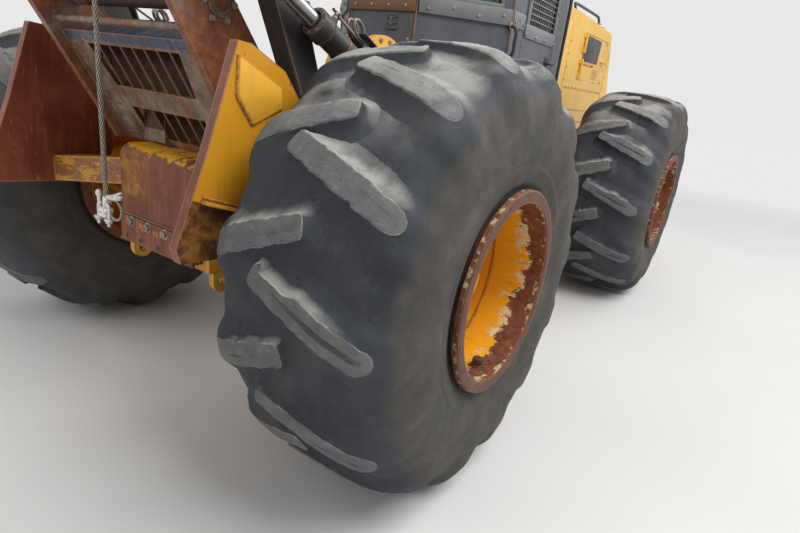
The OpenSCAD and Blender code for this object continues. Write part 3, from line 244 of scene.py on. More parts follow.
class Mat:
    """A small builder for node materials."""

    def __init__(self, name):
        self.mat = bpy.data.materials.new(name)
        self.mat.use_nodes = True
        self.t = self.mat.node_tree
        self.bsdf = self.t.nodes["Principled BSDF"]
        self.co = self.made("TexCoord", "Object")

    def node(self, kind, **kw):
        n = self.t.nodes.new("ShaderNode" + kind)
        for k, v in kw.items():
            setattr(n, k, v)
        return n

    def put(self, sock, v):
        """Link a value or set a number or colour; nothing where v is None."""
        if isinstance(v, Val):
            self.t.links.new(v.sock, sock)
        elif v is not None:
            if isinstance(v, (tuple, list)) and len(v) == 3 and sock.type == "RGBA":
                v = (*v, 1)
            sock.default_value = v

    def made(self, kind, out, inputs={}, **kw):
        """A new node's output; inputs by name or number."""
        n = self.node(kind, **kw)
        for k, v in inputs.items():
            self.put(n.inputs[k], v)
        return Val(self, n.outputs[out])

    def vec(self, scale, rot=(0, 0, 0)):
        """Coordinates stretched and turned, in degrees, so that a pattern runs along a direction."""
        return self.made("Mapping", 0,
                         {"Vector": self.co, "Scale": scale, "Rotation": [math.radians(a) for a in rot]})

    def noise(self, scale, detail=4, rough=0.55, dist=0.0, vec=None):
        return self.made("TexNoise", "Fac", {"Vector": vec or self.co, "Scale": scale, "Detail": detail,
                                             "Roughness": rough, "Distortion": dist})

    def voronoi(self, scale, feature="F1", vec=None):
        return self.made("TexVoronoi", "Distance", {"Vector": vec or self.co, "Scale": scale}, feature=feature)

    def wave(self, direction, scale, dist=0.0):
        return self.made("TexWave", "Fac", {"Vector": self.co, "Scale": scale, "Distortion": dist},
                         wave_type="BANDS", bands_direction=direction)

    def ramp(self, fac, *stops):
        n = self.node("ValToRGB")
        self.put(n.inputs["Fac"], fac)
        e = n.color_ramp.elements
        while len(e) < len(stops):
            e.new(0.5)
        for i, (p, c) in enumerate(stops):
            e[i].position = p
            e[i].color = (*c, 1)
        return Val(self, n.outputs["Color"])

    def math(self, op, a, b=None, clamp=False):
        return self.made("Math", 0, {0: a, 1: b}, operation=op, use_clamp=clamp)

    def high(self, a, b):
        return self.math("MAXIMUM", a, b)

    def mix(self, fac, a, b):
        return self.made("Mix", 2, {0: fac, 6: a, 7: b}, data_type="RGBA")

    def tone(self, colour, fac, lo=0.75, hi=1.2):
        """The colour, darker and lighter by a pattern."""
        return self.made("HueSaturation", 0, {"Value": fac.between(lo, hi), "Color": colour})

    def split(self, v):
        n = self.node("SeparateXYZ")
        self.put(n.inputs[0], v)
        return [Val(self, o) for o in n.outputs]

    def xyz(self):
        return self.split(self.co)

    def facing(self, axis=2):
        """How far the surface looks along an axis; up, unless another is named."""
        return self.split(self.made("NewGeometry", "Normal"))[axis]

    def edge(self, radius):
        """1 at edges and corners, 0 on flat faces: how far a rounded normal leans from the true one."""
        rounded = self.made("Bevel", 0, {"Radius": radius}, samples=4)
        return self.made("VectorMath", "Value", {0: rounded, 1: self.made("NewGeometry", "Normal")},
                         operation="DOT_PRODUCT").step(0.995, 0.8)

    def attr(self, name):
        return self.made("Attribute", "Fac", attribute_type="GEOMETRY", attribute_name=name)

    def finish(self, color, rough, height=None, strength=0.4, dist=0.002, metal=None, spec=0.5, coat=None):
        self.put(self.bsdf.inputs["Base Color"], color)
        self.put(self.bsdf.inputs["Roughness"], rough)
        if metal is not None:
            self.put(self.bsdf.inputs["Metallic"], metal)
        self.bsdf.inputs["Specular IOR Level"].default_value = spec
        if coat:
            self.bsdf.inputs["Coat Weight"].default_value = coat
        if height is not None:
            self.put(self.bsdf.inputs["Normal"],
                     self.made("Bump", 0, {"Strength": strength, "Distance": dist, "Height": height}))
        return self.mat


RUST = ((0.105, 0.032, 0.014), (0.24, 0.085, 0.032), (0.33, 0.15, 0.065))
DUST = (0.4, 0.34, 0.27)


def painted(name, colour, rust=0.35, edge=0.5, dust=0.25, rough=0.42, grime=0.35, scale=1.0, primer=None,
            where=None, coat=0.0, streak=0.5, rusts=RUST):
    """Worn paint on steel: faded patches, rust from the edges and in spots, runs below it, dust on top."""
    m = Mat(name)
    big, mid = m.noise(2.3 * scale, 5, 0.6), m.noise(11 * scale, 6, 0.62, 0.4)
    fine = m.noise(70 * scale, 5, 0.6)
    col = m.tone(colour, big, 0.86, 1.12)
    col = m.mix(mid.step(0.5, 0.75) * 0.25, col, tuple(min(1, c * 1.25 + 0.02) for c in colour))
    run = m.noise(5 * scale, 4, 0.6, 0.2, m.vec((3.2, 3.2, 0.35)))
    dirt = run.step(0.5, 0.72) * grime
    col = m.mix(dirt, col, tuple(c * 0.35 + 0.01 for c in colour))
    edges = m.edge(0.014)
    chip = (edges * (edge * 1.1) + mid * 0.9).step(0.86, 0.94)
    spots = (m.noise(26 * scale, 6, 0.7) * 0.75 + big * 0.45).step(0.92 - 0.36 * rust, 0.96 - 0.36 * rust)
    worn = m.high(chip, spots)
    if where is not None:
        worn = m.high(worn, where(m, mid, fine))
    rc = m.ramp(m.noise(34 * scale, 6, 0.7), (0.3, rusts[0]), (0.52, rusts[1]), (0.75, rusts[2]))
    if primer:
        halo = (edges * (edge * 1.1) + mid * 0.9).step(0.82, 0.88)
        col = m.mix(halo * fine.step(0.42, 0.58), col, primer)
    streaks = m.noise(9 * scale, 3, 0.5, 0.1, m.vec((6, 6, 0.22))).step(0.55, 0.75) * (streak * 0.55)
    col = m.mix(streaks, col, tuple(0.55 * c + 0.45 * r for c, r in zip(colour, rusts[1])))
    col = m.mix(worn, col, rc)
    up = m.facing().step(0.35, 0.95)
    dusty = m.high(up, 0.25) * m.noise(7 * scale, 4, 0.6).step(0.25, 0.85) * dust
    col = m.mix(dusty, col, DUST)
    ro = m.math("ADD", worn * 0.3, dusty * 0.35 + mid.between(rough - 0.06, rough + 0.1), clamp=True)
    h = (1 - worn) * 0.35 + (fine * 0.12 + worn * m.noise(120 * scale, 4) * 0.4)
    return m.finish(col, ro, h, 0.45, 0.003, coat=coat)


def rusted(name, colour=(0.17, 0.055, 0.028), pale=(0.4, 0.26, 0.18), amount=0.5, rough=0.5, dust=0.2, scale=1.0,
           shine=0.0):
    """Bare steel gone brown, rubbed bright or pale in places."""
    m = Mat(name)
    big, mid, fine = m.noise(3 * scale, 5, 0.6, 0.3), m.noise(14 * scale, 6, 0.66, 0.5), m.noise(90 * scale, 5)
    col = m.ramp(big, (0.32, tuple(c * 0.7 for c in colour)), (0.5, colour), (0.7, tuple(c * 1.45 for c in colour)))
    col = m.mix(mid.step(0.52, 0.72) * amount, col, pale)
    scr = m.noise(30 * scale, 4, 0.6, 0, m.vec((8, 1.2, 0.6)))
    col = m.mix(scr.step(0.6, 0.72) * 0.35, col, tuple(c * 1.2 for c in pale))
    col = m.mix(m.edge(0.012) * 0.6, col, pale)
    up = m.facing().step(0.4, 0.95) * m.noise(8 * scale, 5).step(0.35, 0.7) * dust
    col = m.mix(up, col, DUST)
    ro = mid.between(rough - 0.08, rough + 0.22)
    h = mid * 0.5 + fine * 0.25
    return m.finish(col, ro, h, 0.35, 0.003, metal=shine)


def rubber():
    """Tyre rubber: pale worn tops, pale edges that are partly wear and partly a painted highlight, dark gaps,
    brownish side walls, pale dust with a painted highlight on what looks up.
    """
    m = Mat("tyre_rubber")
    top, edge, side = m.attr("top"), m.attr("edge"), m.attr("side")
    big, mid, fine = m.noise(3.2, 5, 0.6, 0.3), m.noise(15, 6, 0.65, 0.4), m.noise(110, 5, 0.6)
    dark = m.ramp(big, (0.3, (0.022, 0.025, 0.031)), (0.5, (0.035, 0.039, 0.047)), (0.72, (0.062, 0.063, 0.064)))
    dark = m.mix(mid.step(0.54, 0.74) * 0.35, dark, (0.11, 0.1, 0.085))
    tops = m.ramp(mid, (0.3, (0.085, 0.087, 0.088)), (0.55, (0.125, 0.126, 0.124)), (0.78, (0.2, 0.195, 0.185)))
    scratch = m.noise(26, 4, 0.6, 0, m.vec((7, 1, 7), (20, 10, 35)))
    tops = m.mix(scratch.step(0.58, 0.7) * 0.35, tops, (0.26, 0.25, 0.235))
    walls = m.ramp(m.noise(6, 5, 0.6, 0.6), (0.3, (0.04, 0.038, 0.035)), (0.55, (0.06, 0.055, 0.048)),
                   (0.8, (0.1, 0.088, 0.072)))
    col = m.mix(side, dark, walls)
    col = m.mix((top + (mid - 0.5) * 0.5).step(0.35, 0.6), col, tops)
    # pale lines along lug edges: partly nicked wear, partly a painted edge highlight
    nick_and_highlight = (edge + (m.noise(17, 5, 0.7) - 0.5) * 2.6).step(0.8, 1.15)
    col = m.mix(nick_and_highlight * 0.7, col, (0.3, 0.285, 0.262))
    cracks = m.voronoi(9, "DISTANCE_TO_EDGE", m.vec((1, 2.2, 1), (15, 0, 25)))
    pits = m.high(m.voronoi(38).step(0.13, 0.07), cracks.step(0.012, 0.004) * mid.step(0.56, 0.62))
    col = m.mix(pits * 0.65, col, (0.012, 0.012, 0.013))
    # pale on surfaces facing up: partly dust, partly a painted highlight of light from above
    up = m.facing().step(0.62, 0.98)
    col = m.mix(up * m.noise(5, 5, 0.65).step(0.3, 0.56) * 0.75, col, (0.47, 0.455, 0.425))
    mud = m.noise(2.1, 4, 0.6, 0.5).step(0.6, 0.74)
    col = m.mix(mud * 0.35, col, (0.16, 0.125, 0.085))
    ro = mid.between(0.58, 0.82)
    h = mid * 0.5 + (fine * 0.3 + pits * -0.8)
    return m.finish(col, ro, h, 0.5, 0.003, spec=0.35)


# ---------------------------------------------------------------- tyres
# Worn outer surface: distance from the wheel's middle plane, radius, depth of the gap between lugs, share of that
# depth which a lug's lobe fills
PROFILE = [(0.0, 0.9575, 0.047, 0), (0.03, 0.9575, 0.047, 0), (0.06, 0.957, 0.047, 0), (0.09, 0.9565, 0.047, 0),
           (0.12, 0.956, 0.047, 0), (0.15, 0.955, 0.047, 0), (0.18, 0.953, 0.047, 0.02), (0.21, 0.95, 0.046, 0.06),
           (0.235, 0.946, 0.046, 0.14), (0.26, 0.941, 0.045, 0.28), (0.285, 0.934, 0.044, 0.48),
           (0.308, 0.925, 0.042, 0.66), (0.33, 0.913, 0.04, 0.78), (0.35, 0.898, 0.038, 0.85),
           (0.368, 0.88, 0.036, 0.88), (0.384, 0.86, 0.034, 0.88), (0.397, 0.836, 0.031, 0.86),
           (0.407, 0.808, 0.026, 0.82), (0.414, 0.776, 0.019, 0.75), (0.418, 0.74, 0.011, 0.7),
           (0.419, 0.7, 0.004, 0.6), (0.419, 0.66, 0.0, 0), (0.416, 0.618, 0.0, 0), (0.411, 0.58, 0.0, 0),
           (0.404, 0.548, 0.0, 0), (0.401, 0.536, 0.0, 0), (0.403, 0.53, 0.0, 0), (0.401, 0.522, 0.0, 0),
           (0.394, 0.5, 0.0, 0), (0.386, 0.478, 0.0, 0), (0.385, 0.47, 0.0, 0), (0.38, 0.462, 0.0, 0),
           (0.375, 0.452, 0.0, 0), (0.368, 0.443, 0.0, 0), (0.364, 0.425, 0.0, 0), (0.364, 0.4075, 0.0, 0)]
P = np.array(PROFILE)
TREAD = P[:22]      # the part of the profile that lugs and gaps lie on
ARC = np.concatenate([[0], np.cumsum(np.hypot(np.diff(TREAD[:, 0]), np.diff(TREAD[:, 1])))])
T_Y, T_R = np.gradient(TREAD[:, 0], ARC), np.gradient(TREAD[:, 1], ARC)


def on_profile(across, depth_at):
    """Point of the worn surface at a distance across the tread, pushed inwards: (y, radius)."""
    sa, sg = np.minimum(np.abs(across), ARC[-1]), np.where(across >= 0, 1.0, -1.0)
    y, r = np.interp(sa, ARC, TREAD[:, 0]), np.interp(sa, ARC, TREAD[:, 1])
    ty, tr = np.interp(sa, ARC, T_Y), np.interp(sa, ARC, T_R)
    ln = np.hypot(ty, tr)
    d = depth_at(y)
    return sg * (y + tr / ln * d), r - ty / ln * d


def lobe(a, y, sign):
    """How much of a lug there is at an angle in degrees, on one side: 0 in the gap, 1 on the lug."""
    centre = PHASE + (0.0 if sign > 0 else 0.5) * PITCH + SLANT * np.abs(y) / TYRE_HALF
    d = ((a - centre) / PITCH + 0.5) % 1.0 - 0.5
    w = 0.235
    x = np.clip((np.abs(d) - w * 0.55) / (w * 0.95), 0, 1)
    return 0.5 + 0.5 * np.cos(math.pi * x)


def gap_depth(a, y):
    """How deep the gap lies under the worn surface at an angle and a distance across."""
    fill = np.interp(np.abs(y), TREAD[:, 0], TREAD[:, 3])
    deep = np.interp(np.abs(y), P[:20, 0], P[:20, 2])
    return deep * (1 - fill * np.where(y >= 0, lobe(a, y, 1), lobe(a, y, -1)))


LUG_SHIFT = {4: -1.3, 5: -1.7, 7: 3.0}      # outboard lugs that stand off their even place, in degrees
LUG_TURN = math.atan(math.radians(SLANT) * TYRE_R / TYRE_HALF)
# Flank of a lug from the gap up: distance out from the top's outline, share of the gap's depth, share of edge wear
# and painted edge highlight
FLANK = [(0.098, 1.07, 0), (0.074, 0.985, 0), (0.052, 0.9, 0), (0.034, 0.78, 0), (0.02, 0.6, 0), (0.01, 0.36, 0),
         (0.0038, 0.13, 0.45), (0.0, 0.015, 1.0)]
TOP_STEPS = (0.955, 0.8, 0.52, 0.24)       # rings inside the outline, as shares of the way from the lug's middle line


def lug_outline(rs, outboard, notched):
    """Worn outline of a lug's top as (along, across), then its ends and their half widths."""
    p0, p1 = -(rs.uniform(0.118, 0.138) if outboard else rs.uniform(0.04, 0.062)), rs.uniform(0.385, 0.412)
    w0, w1, w2 = rs.uniform(0.038, 0.043), rs.uniform(0.046, 0.052), rs.uniform(0.04, 0.046)
    notch = rs.uniform(0.14, 0.24) if rs.rand() < 0.2 or notched else None
    ps = np.linspace(p0 + 0.03, p1 - 0.06, 26)

    def half(p):
        return np.interp((p - p0) / (p1 - p0), [0, 0.3, 0.6, 0.85, 1], [w0, w1 * 0.95, w1, w2 * 1.08, w2])

    def flank(sign):
        out = []
        ph1, ph2 = rs.uniform(0, 6, 2)
        for p in ps:
            q = half(p) + 0.0022 * math.sin(p * 60 + ph1) + 0.0014 * math.sin(p * 140 + ph2)
            q += rs.normal(0, 0.0006)
            if notch is not None and sign < 0:
                q -= 0.018 * (1 / (1 + math.exp((p - p0 - notch) / 0.006)))
            if rs.rand() < 0.06:
                q -= rs.uniform(0.003, 0.008)
            out.append((p, sign * q))
        return out

    # the outer end is round, the inner end nearly square
    turn = [math.pi * i / 10 for i in range(1, 10)]
    outer = [(ps[-1] + 0.06 * math.sin(t) ** 0.9, half(ps[-1]) * math.cos(t)) for t in turn]
    inner = [(ps[0] - 0.03 * abs(math.sin(t)) ** 0.45,
              -half(ps[0]) * math.copysign(abs(math.cos(t)) ** 0.5, math.cos(t))) for t in turn]
    one = flank(1)
    return np.array(one + outer + flank(-1)[::-1] + inner), p0, p1, w0, w2


def tyre_mesh(seed):
    """Points, faces and, for each point, its share of lug top, of edge (wear and painted highlight) and of side wall.
    """
    rs = np.random.RandomState(seed)
    soft = rs.normal(0, 1, (6, 3))
    # carcass: rows from the outboard bead over the crown to the inboard bead
    rows = PROFILE[::-1] + [(-y, r, d, f) for y, r, d, f in PROFILE[1:]]
    dy, dr = np.gradient(np.array(rows)[:, 0]), np.gradient(np.array(rows)[:, 1])
    ln = np.hypot(dy, dr)
    cols = LUGS * 20
    ang = np.arange(cols) * 360.0 / cols
    points, side = [], []
    for (y, r, d, f), ny, nr in zip(rows, dr / ln, -dy / ln):
        a = ang + SLANT * abs(y) / TYRE_HALF
        dep = d * (1 - f * lobe(a, y, 1 if y >= 0 else -1))
        wave = 0.0016 * np.sin(np.radians(3 * a) + soft[0, 0] * 3) * (abs(y) > 0.38)
        rr, t = r - nr * dep, np.radians(a)
        points.append(np.stack([rr * np.cos(t), y - ny * dep + wave * np.sign(y), rr * np.sin(t)], 1))
        side += [float(np.clip((0.86 - r) / 0.06, 0, 1))] * cols
    faces = [(a, d, c, b) for a, b, c, d in skin(len(rows), cols, True)]
    start = len(rows) * cols
    top, edge = [0.0] * start, [0.0] * start
    # lugs, set on the worn surface, with scooped flanks down into the gap
    for sgn in (1, -1):
        for k in range(LUGS):
            a_mid = PHASE + PITCH * (k + (0 if sgn > 0 else 0.5)) + (LUG_SHIFT.get(k, 0.0) if sgn > 0 else 0.0)
            out, p0, p1, w0, w2 = lug_outline(rs, sgn > 0, k == 6 and sgn > 0)
            n = len(out)
            tan = np.roll(out, -1, 0) - np.roll(out, 1, 0)
            tan /= np.hypot(tan[:, 0], tan[:, 1])[:, None]
            nrm = np.stack([-tan[:, 1], tan[:, 0]], 1)
            if nrm[3][1] < 0:
                nrm = -nrm
            # wider scoop at the outer end and on the long sides, tighter at the inner end
            spread = np.interp(out[:, 0], [p0, p0 + 0.03, p1 - 0.08, p1], [0.65, 1.0, 1.0, 1.1])
            mid = np.stack([np.clip(out[:, 0], p0 + w0 * 0.9, p1 - w2 * 1.1), np.zeros(n)], 1)
            rings = [(out + nrm * (d * spread)[:, None], h, e) for d, h, e in FLANK]
            rings += [(mid + (out - mid) * f, -1, 0) for f in TOP_STEPS]
            for pts, h, e in rings:
                arc = pts[:, 0] * math.sin(LUG_TURN) + pts[:, 1] * math.cos(LUG_TURN)
                yy = pts[:, 0] * math.cos(LUG_TURN) - pts[:, 1] * math.sin(LUG_TURN)
                a = a_mid + np.degrees(arc / TYRE_R)
                dz = rs.normal(0, 0.0005, n) + 0.0012 * np.sin(pts[:, 0] * 31 + soft[k % 6, 0]) + 0.0012
                y, rr = on_profile(sgn * yy, lambda q: -dz if h < 0
                                   else gap_depth(a, np.where(sgn * yy >= 0, q, -q)) * h)
                t = np.radians(a)
                points.append(np.stack([rr * np.cos(t), y, rr * np.sin(t)], 1))
                top += [1.0 if h < 0.05 else 0.0] * n
                edge += [float(e)] * n
                side += [0.0] * n
            faces += [tuple(start + i for i in f[::sgn]) for f in skin(len(rings), n)]
            start += len(rings) * n
    return np.concatenate(points), faces, top, edge, side


def add_tyre(name, x, s, seed, mat):
    verts, faces, top, edge, side = tyre_mesh(seed)
    verts = verts * [1, s, 1] + [x, s * HALF_TRACK, AXLE_Z]
    if s < 0:
        faces = [f[::-1] for f in faces]
    ob = new_object(name, verts, faces, mat, name.replace("tread", "wheel"), 0)
    me = ob.data
    for key, val in (("top", top), ("edge", edge), ("side", side)):
        me.attributes.new(key, "FLOAT", "POINT").data.foreach_set("value", val)
    me.shade_smooth()
    me.set_sharp_from_angle(angle=math.radians(52))
    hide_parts(name.replace("tread", "tyre"))


# ---------------------------------------------------------------- rope and its eye
def rear(x, y, z):
    """A place given in mm from the middle of the rear axle, on the ground."""
    return Vector((REAR_X + x / 1000, y / 1000, z / 1000))


def front(x, y, z):
    """The same from the front axle."""
    return Vector((FRONT_X + x / 1000, y / 1000, z / 1000))


def places(frame_of, *points):
    return [frame_of(*q) for q in points]


def strand_wave(count, lay, step, sides, depth=0.3):
    """Grooves between count strands that go once round in each lay."""
    def wave(i, k):
        a = 2 * math.pi * (k / sides - i * step / lay)
        return -depth * (1 - abs(math.cos(count / 2 * a)))
    return wave


def wire():
    m = Mat("wire_rope")
    fine, big = m.noise(160, 4, 0.6), m.noise(9, 4, 0.6, 0.3)
    col = m.ramp(fine, (0.3, (0.2, 0.185, 0.15)), (0.5, (0.36, 0.34, 0.29)), (0.72, (0.52, 0.5, 0.44)))
    col = m.mix(big.step(0.5, 0.7) * 0.35, col, (0.26, 0.17, 0.1))
    col = m.mix(m.attr("groove").step(-0.085, -0.17), col, (0.03, 0.023, 0.016))
    return m.finish(col, fine.between(0.38, 0.62), fine, 0.4, 0.0015, metal=0.45)


def galvanised():
    m = Mat("galvanised")
    vor, fine = m.voronoi(90), m.noise(60, 5, 0.65)
    col = m.ramp(vor * 0.6 + fine * 0.5, (0.2, (0.4, 0.385, 0.34)), (0.5, (0.66, 0.65, 0.6)),
                 (0.8, (0.84, 0.83, 0.79)))
    col = m.mix(m.noise(30, 5, 0.7).step(0.56, 0.68) * 0.5, col, (0.33, 0.2, 0.12))
    return m.finish(col, fine.between(0.35, 0.55), fine, 0.3, 0.0015, metal=0.25)


# The winch rope in the middle plane, from the drum over the fairlead down to the eye: (x, z) from the rear axle in mm
ROPE_ROUTE = [(330, 1602), (180, 1668), (0, 1752), (-200, 1848), (-400, 1952), (-560, 2040), (-650, 2093),
              (-679, 2102), (-710, 2099), (-738, 2085), (-758, 2060), (-766, 2041), (-768, 2020), (-768, 1900),
              (-768, 1700), (-768, 1500), (-768, 1300), (-768, 1150), (-768, 1040)]
M_WIRE, M_GALV = wire(), galvanised()


def add_rope():
    step, sides = 0.006, 30
    line = smooth_path([rear(x, 0, z) for x, z in ROPE_ROUTE], step)
    p = Parts()
    p.tube(line, 0.011, sides, wave=strand_wave(6, 0.14, step, sides))
    rope = p.make("winch_rope_line", M_WIRE, "rear_frame", "rope_steel", 60)
    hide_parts("winch_rope")
    # the eye beside the clip, the clip with its two nuts, the pin with a knob, and the taped tail
    eye = [(-768, -4, 1052), (-770, -12, 1034), (-772, -45, 1016), (-773, -80, 1006), (-774, -108, 1014),
           (-774, -128, 1032), (-774, -134, 1054), (-774, -126, 1076), (-773, -104, 1092), (-772, -78, 1096),
           (-771, -52, 1090), (-770, -26, 1074), (-769, -8, 1060)]
    q = Parts()
    q.tube(smooth_path([rear(x, y, z) for x, y, z in eye], 0.004), 0.0056, 18,
           wave=strand_wave(6, 0.07, 0.004, 18, 0.24))
    loop = q.make("rope_eye", M_WIRE, "rear_frame", "rope_steel", 60)
    c = Parts()
    x0 = -768
    for y0, z0, hy, hz in ((4, 1034, 33, 13), (12, 1010, 34, 11)):
        c.box(rear(x0 - 24, y0 - hy, z0 - hz), rear(x0 + 20, y0 + hy, z0 + hz), 0.01, 0, None, 3)
    for y0 in (-34, 52):
        c.tube(smooth_path(places(rear, (x0 - 6, y0 * 0.5, 1066), (x0 - 8, y0, 1052), (x0 - 8, y0 + 2, 1010),
                                  (x0 - 8, y0 + 6, 962)), 0.006), 0.0075, 14)
        c.bolt(rear(x0 - 8, y0 + 4, 996), (0, 0.06, -1), 0.019)
    c.tube([rear(x0 + 8, -17 + 34 * k / 8, 1066 + 14 * math.sin(math.pi * k / 8)) for k in range(9)], 0.0075, 14)
    c.tube(smooth_path(places(rear, (x0 - 4, 36, 1026), (x0 - 6, 46, 1052), (x0 - 6, 50, 1092)), 0.006), 0.0085, 14)
    c.lathe([(-0.016, 0.008), (-0.012, 0.012), (0.0, 0.0145), (0.01, 0.012), (0.014, 0.007), (0.016, 0.003)],
            rear(x0 - 6, 50, 1106), (0, 0.05, 1), 22)
    c.tube([rear(x0, 0, 1046 + i * 3) for i in range(18)], [0.015 + 0.0014 * (i % 2) for i in range(18)], 20)
    for k, (dz, yy) in enumerate(((0, -136), (10, -126), (-9, -118))):
        tail = places(rear, (x0, -6, 1096 + dz * 0.3), (x0 - 6, -50, 1104 + dz * 0.6), (x0 - 8, -96, 1114 + dz),
                      (x0 - 6 + 4 * k, yy, 1122 + dz * 1.6))
        c.tube(smooth_path(tail, 0.006), 0.0062, 12, wave=strand_wave(3, 0.05, 0.006, 12, 0.16))
    clip = c.make("rope_clip", M_GALV, "rear_frame", "rope_steel")
    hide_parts("rope_fittings")
    length = sum((b - a).length for a, b in zip(line, line[1:]))
    tuple(line[0])
    [tuple(v) for v in line]


add_rope()


# ---------------------------------------------------------------- materials of the CAD nodes
YELLOW, HOOD_YELLOW = (0.66, 0.3, 0.016), (0.74, 0.43, 0.055)


def rim_mat():
    """Amber dish, rust towards the flange, torn cream primer between them."""
    m = Mat("rim_paint")
    out = abs(m.xyz()[1]) - HALF_TRACK     # how far outboard of the tyre's middle
    big, mid, fine = m.noise(3.5, 5, 0.6, 0.2), m.noise(13, 6, 0.68, 0.5), m.noise(75, 5, 0.65)
    amber = m.mix(big.step(0.4, 0.7) * 0.5, (0.8, 0.36, 0.014), (0.62, 0.24, 0.012))
    drip = m.noise(9, 4, 0.6, 0.2, m.vec((2.5, 0.5, 2.5)))
    amber = m.mix(drip.step(0.56, 0.72) * 0.4, amber, (0.36, 0.13, 0.018))
    rust = m.ramp(m.noise(30, 6, 0.7), (0.3, (0.075, 0.024, 0.013)), (0.52, (0.155, 0.05, 0.024)),
                  (0.75, (0.25, 0.1, 0.052)))
    rust = m.mix(fine.step(0.56, 0.72) * 0.3, rust, (0.33, 0.19, 0.12))
    reach = out + ((mid - 0.5) * 0.16 + (big - 0.5) * 0.12)
    worn = m.high(reach.step(0.292, 0.3), out.step(-0.3, -0.34))
    patch = m.noise(15, 6, 0.74, 0.3, m.vec((1, 0.6, 1))).step(0.5, 0.52)
    band = reach.step(0.238, 0.262) * (1 - reach.step(0.312, 0.325))
    rim_side = reach.step(0.385, 0.4) * (1 - reach.step(0.425, 0.44)) * m.noise(22, 6, 0.74, 0.3).step(0.53, 0.55)
    cream = m.high(band * patch, rim_side * 0.8)
    seam = abs(out - 0.15).step(0.01, 0.004) * mid.step(0.42, 0.55)
    spots = (m.noise(24, 6, 0.7) * 0.7 + big * 0.4).step(0.66, 0.69)
    cream = m.high(cream, spots * m.noise(40, 4).step(0.42, 0.5))
    col = m.mix(spots * 0.75, amber, rust)
    col = m.mix(m.high(worn, seam * 0.8), col, rust)
    col = m.mix(cream, col, m.mix(fine.step(0.4, 0.6), (0.7, 0.6, 0.36), (0.56, 0.42, 0.2)))
    lit = m.edge(0.012).step(0.2, 0.7)
    col = m.mix(lit * 0.5, col, (0.36, 0.17, 0.1))
    face = abs(m.facing(1)).step(0.8, 0.93) * out.step(0.22, 0.26)
    col = m.mix(face * 0.75, col, m.mix(mid.step(0.4, 0.62), (0.4, 0.185, 0.112), (0.27, 0.105, 0.062)))
    ro = worn * 0.2 + mid.between(0.4, 0.56)
    h = (1 - worn) * 0.4 + (fine * 0.25 + cream * 0.3)
    return m.finish(col, ro, h, 0.4, 0.003, spec=0.3)


def tower_mat():
    """Bare steel in greys and browns, told apart by place."""
    m = Mat("tower_steel")
    x, y, z = m.xyz()
    ay = abs(y)
    big, mid, fine = m.noise(4, 5, 0.62, 0.4), m.noise(15, 6, 0.68, 0.6), m.noise(80, 5, 0.65)
    run = m.noise(9, 5, 0.65, 0.2, m.vec((2, 2, 0.4)))
    grey = m.ramp(run * 0.6 + mid * 0.4, (0.34, (0.085, 0.052, 0.036)), (0.5, (0.2, 0.14, 0.105)),
                  (0.66, (0.36, 0.29, 0.235)))
    rust = m.ramp(m.noise(22, 6, 0.7), (0.3, (0.12, 0.034, 0.014)), (0.55, (0.26, 0.088, 0.034)),
                  (0.8, (0.44, 0.2, 0.075)))
    side = ay.step(0.508, 0.513)
    rusty = m.high((big * 0.6 + mid * 0.4).step(0.5, 0.6), side * big.step(0.36, 0.52))
    col = m.mix(rusty, grey, rust)
    # fins and cross slabs: brown; chute plate: blue-grey; channel beside the ladder: near black, painted shade in the
    # recess
    inside = ay.step(0.372, 0.366)
    fins = inside * abs(z - 1.6).step(0.4, 0.36)
    ladder = x + (z - 1.9) * TOWER_LEAN
    behind = ladder.step(REAR_X - 0.7165, REAR_X - 0.7145)
    brown = m.ramp(mid, (0.3, (0.022, 0.014, 0.01)), (0.55, (0.052, 0.027, 0.015)), (0.75, (0.14, 0.058, 0.026)))
    col = m.mix(fins * behind * 0.9, col, brown)
    dx, dz = x - (REAR_X - 0.6879), z - 1.845
    rung = (dx * dx + dz * dz).step(0.00036, 0.0003)
    chute = z.step(1.755, 1.765) * z.step(1.87, 1.862) * ay.step(0.516, 0.512) * (1 - rung)
    blue = m.ramp(run, (0.3, (0.045, 0.052, 0.085)), (0.6, (0.085, 0.098, 0.15)), (0.8, (0.24, 0.25, 0.3)))
    col = m.mix(chute * mid.step(0.62, 0.56), col, blue)
    black = (m.noise(6, 5, 0.6, 0.5) * 0.7 + mid * 0.3).step(0.56, 0.62) * 0.55
    col = m.mix(black, col, (0.035, 0.03, 0.027))
    # painted shade: the recess beside the ladder plate turns near black
    gap = ladder.step(REAR_X - 0.715, REAR_X - 0.708) * ay.step(0.366, 0.372) * (1 - side) * z.step(1.8, 1.78)
    col = m.mix(gap * run.step(0.62, 0.52) * 0.8, col, (0.03, 0.028, 0.028))
    rubbed = (m.edge(0.01) + mid * 0.5).step(0.56, 0.74)
    col = m.mix(rubbed * 0.85, col, (0.42, 0.185, 0.075))
    ro = mid.between(0.34, 0.62)
    return m.finish(col, ro, mid * 0.6 + fine * 0.3, 0.45, 0.003, metal=0.12)


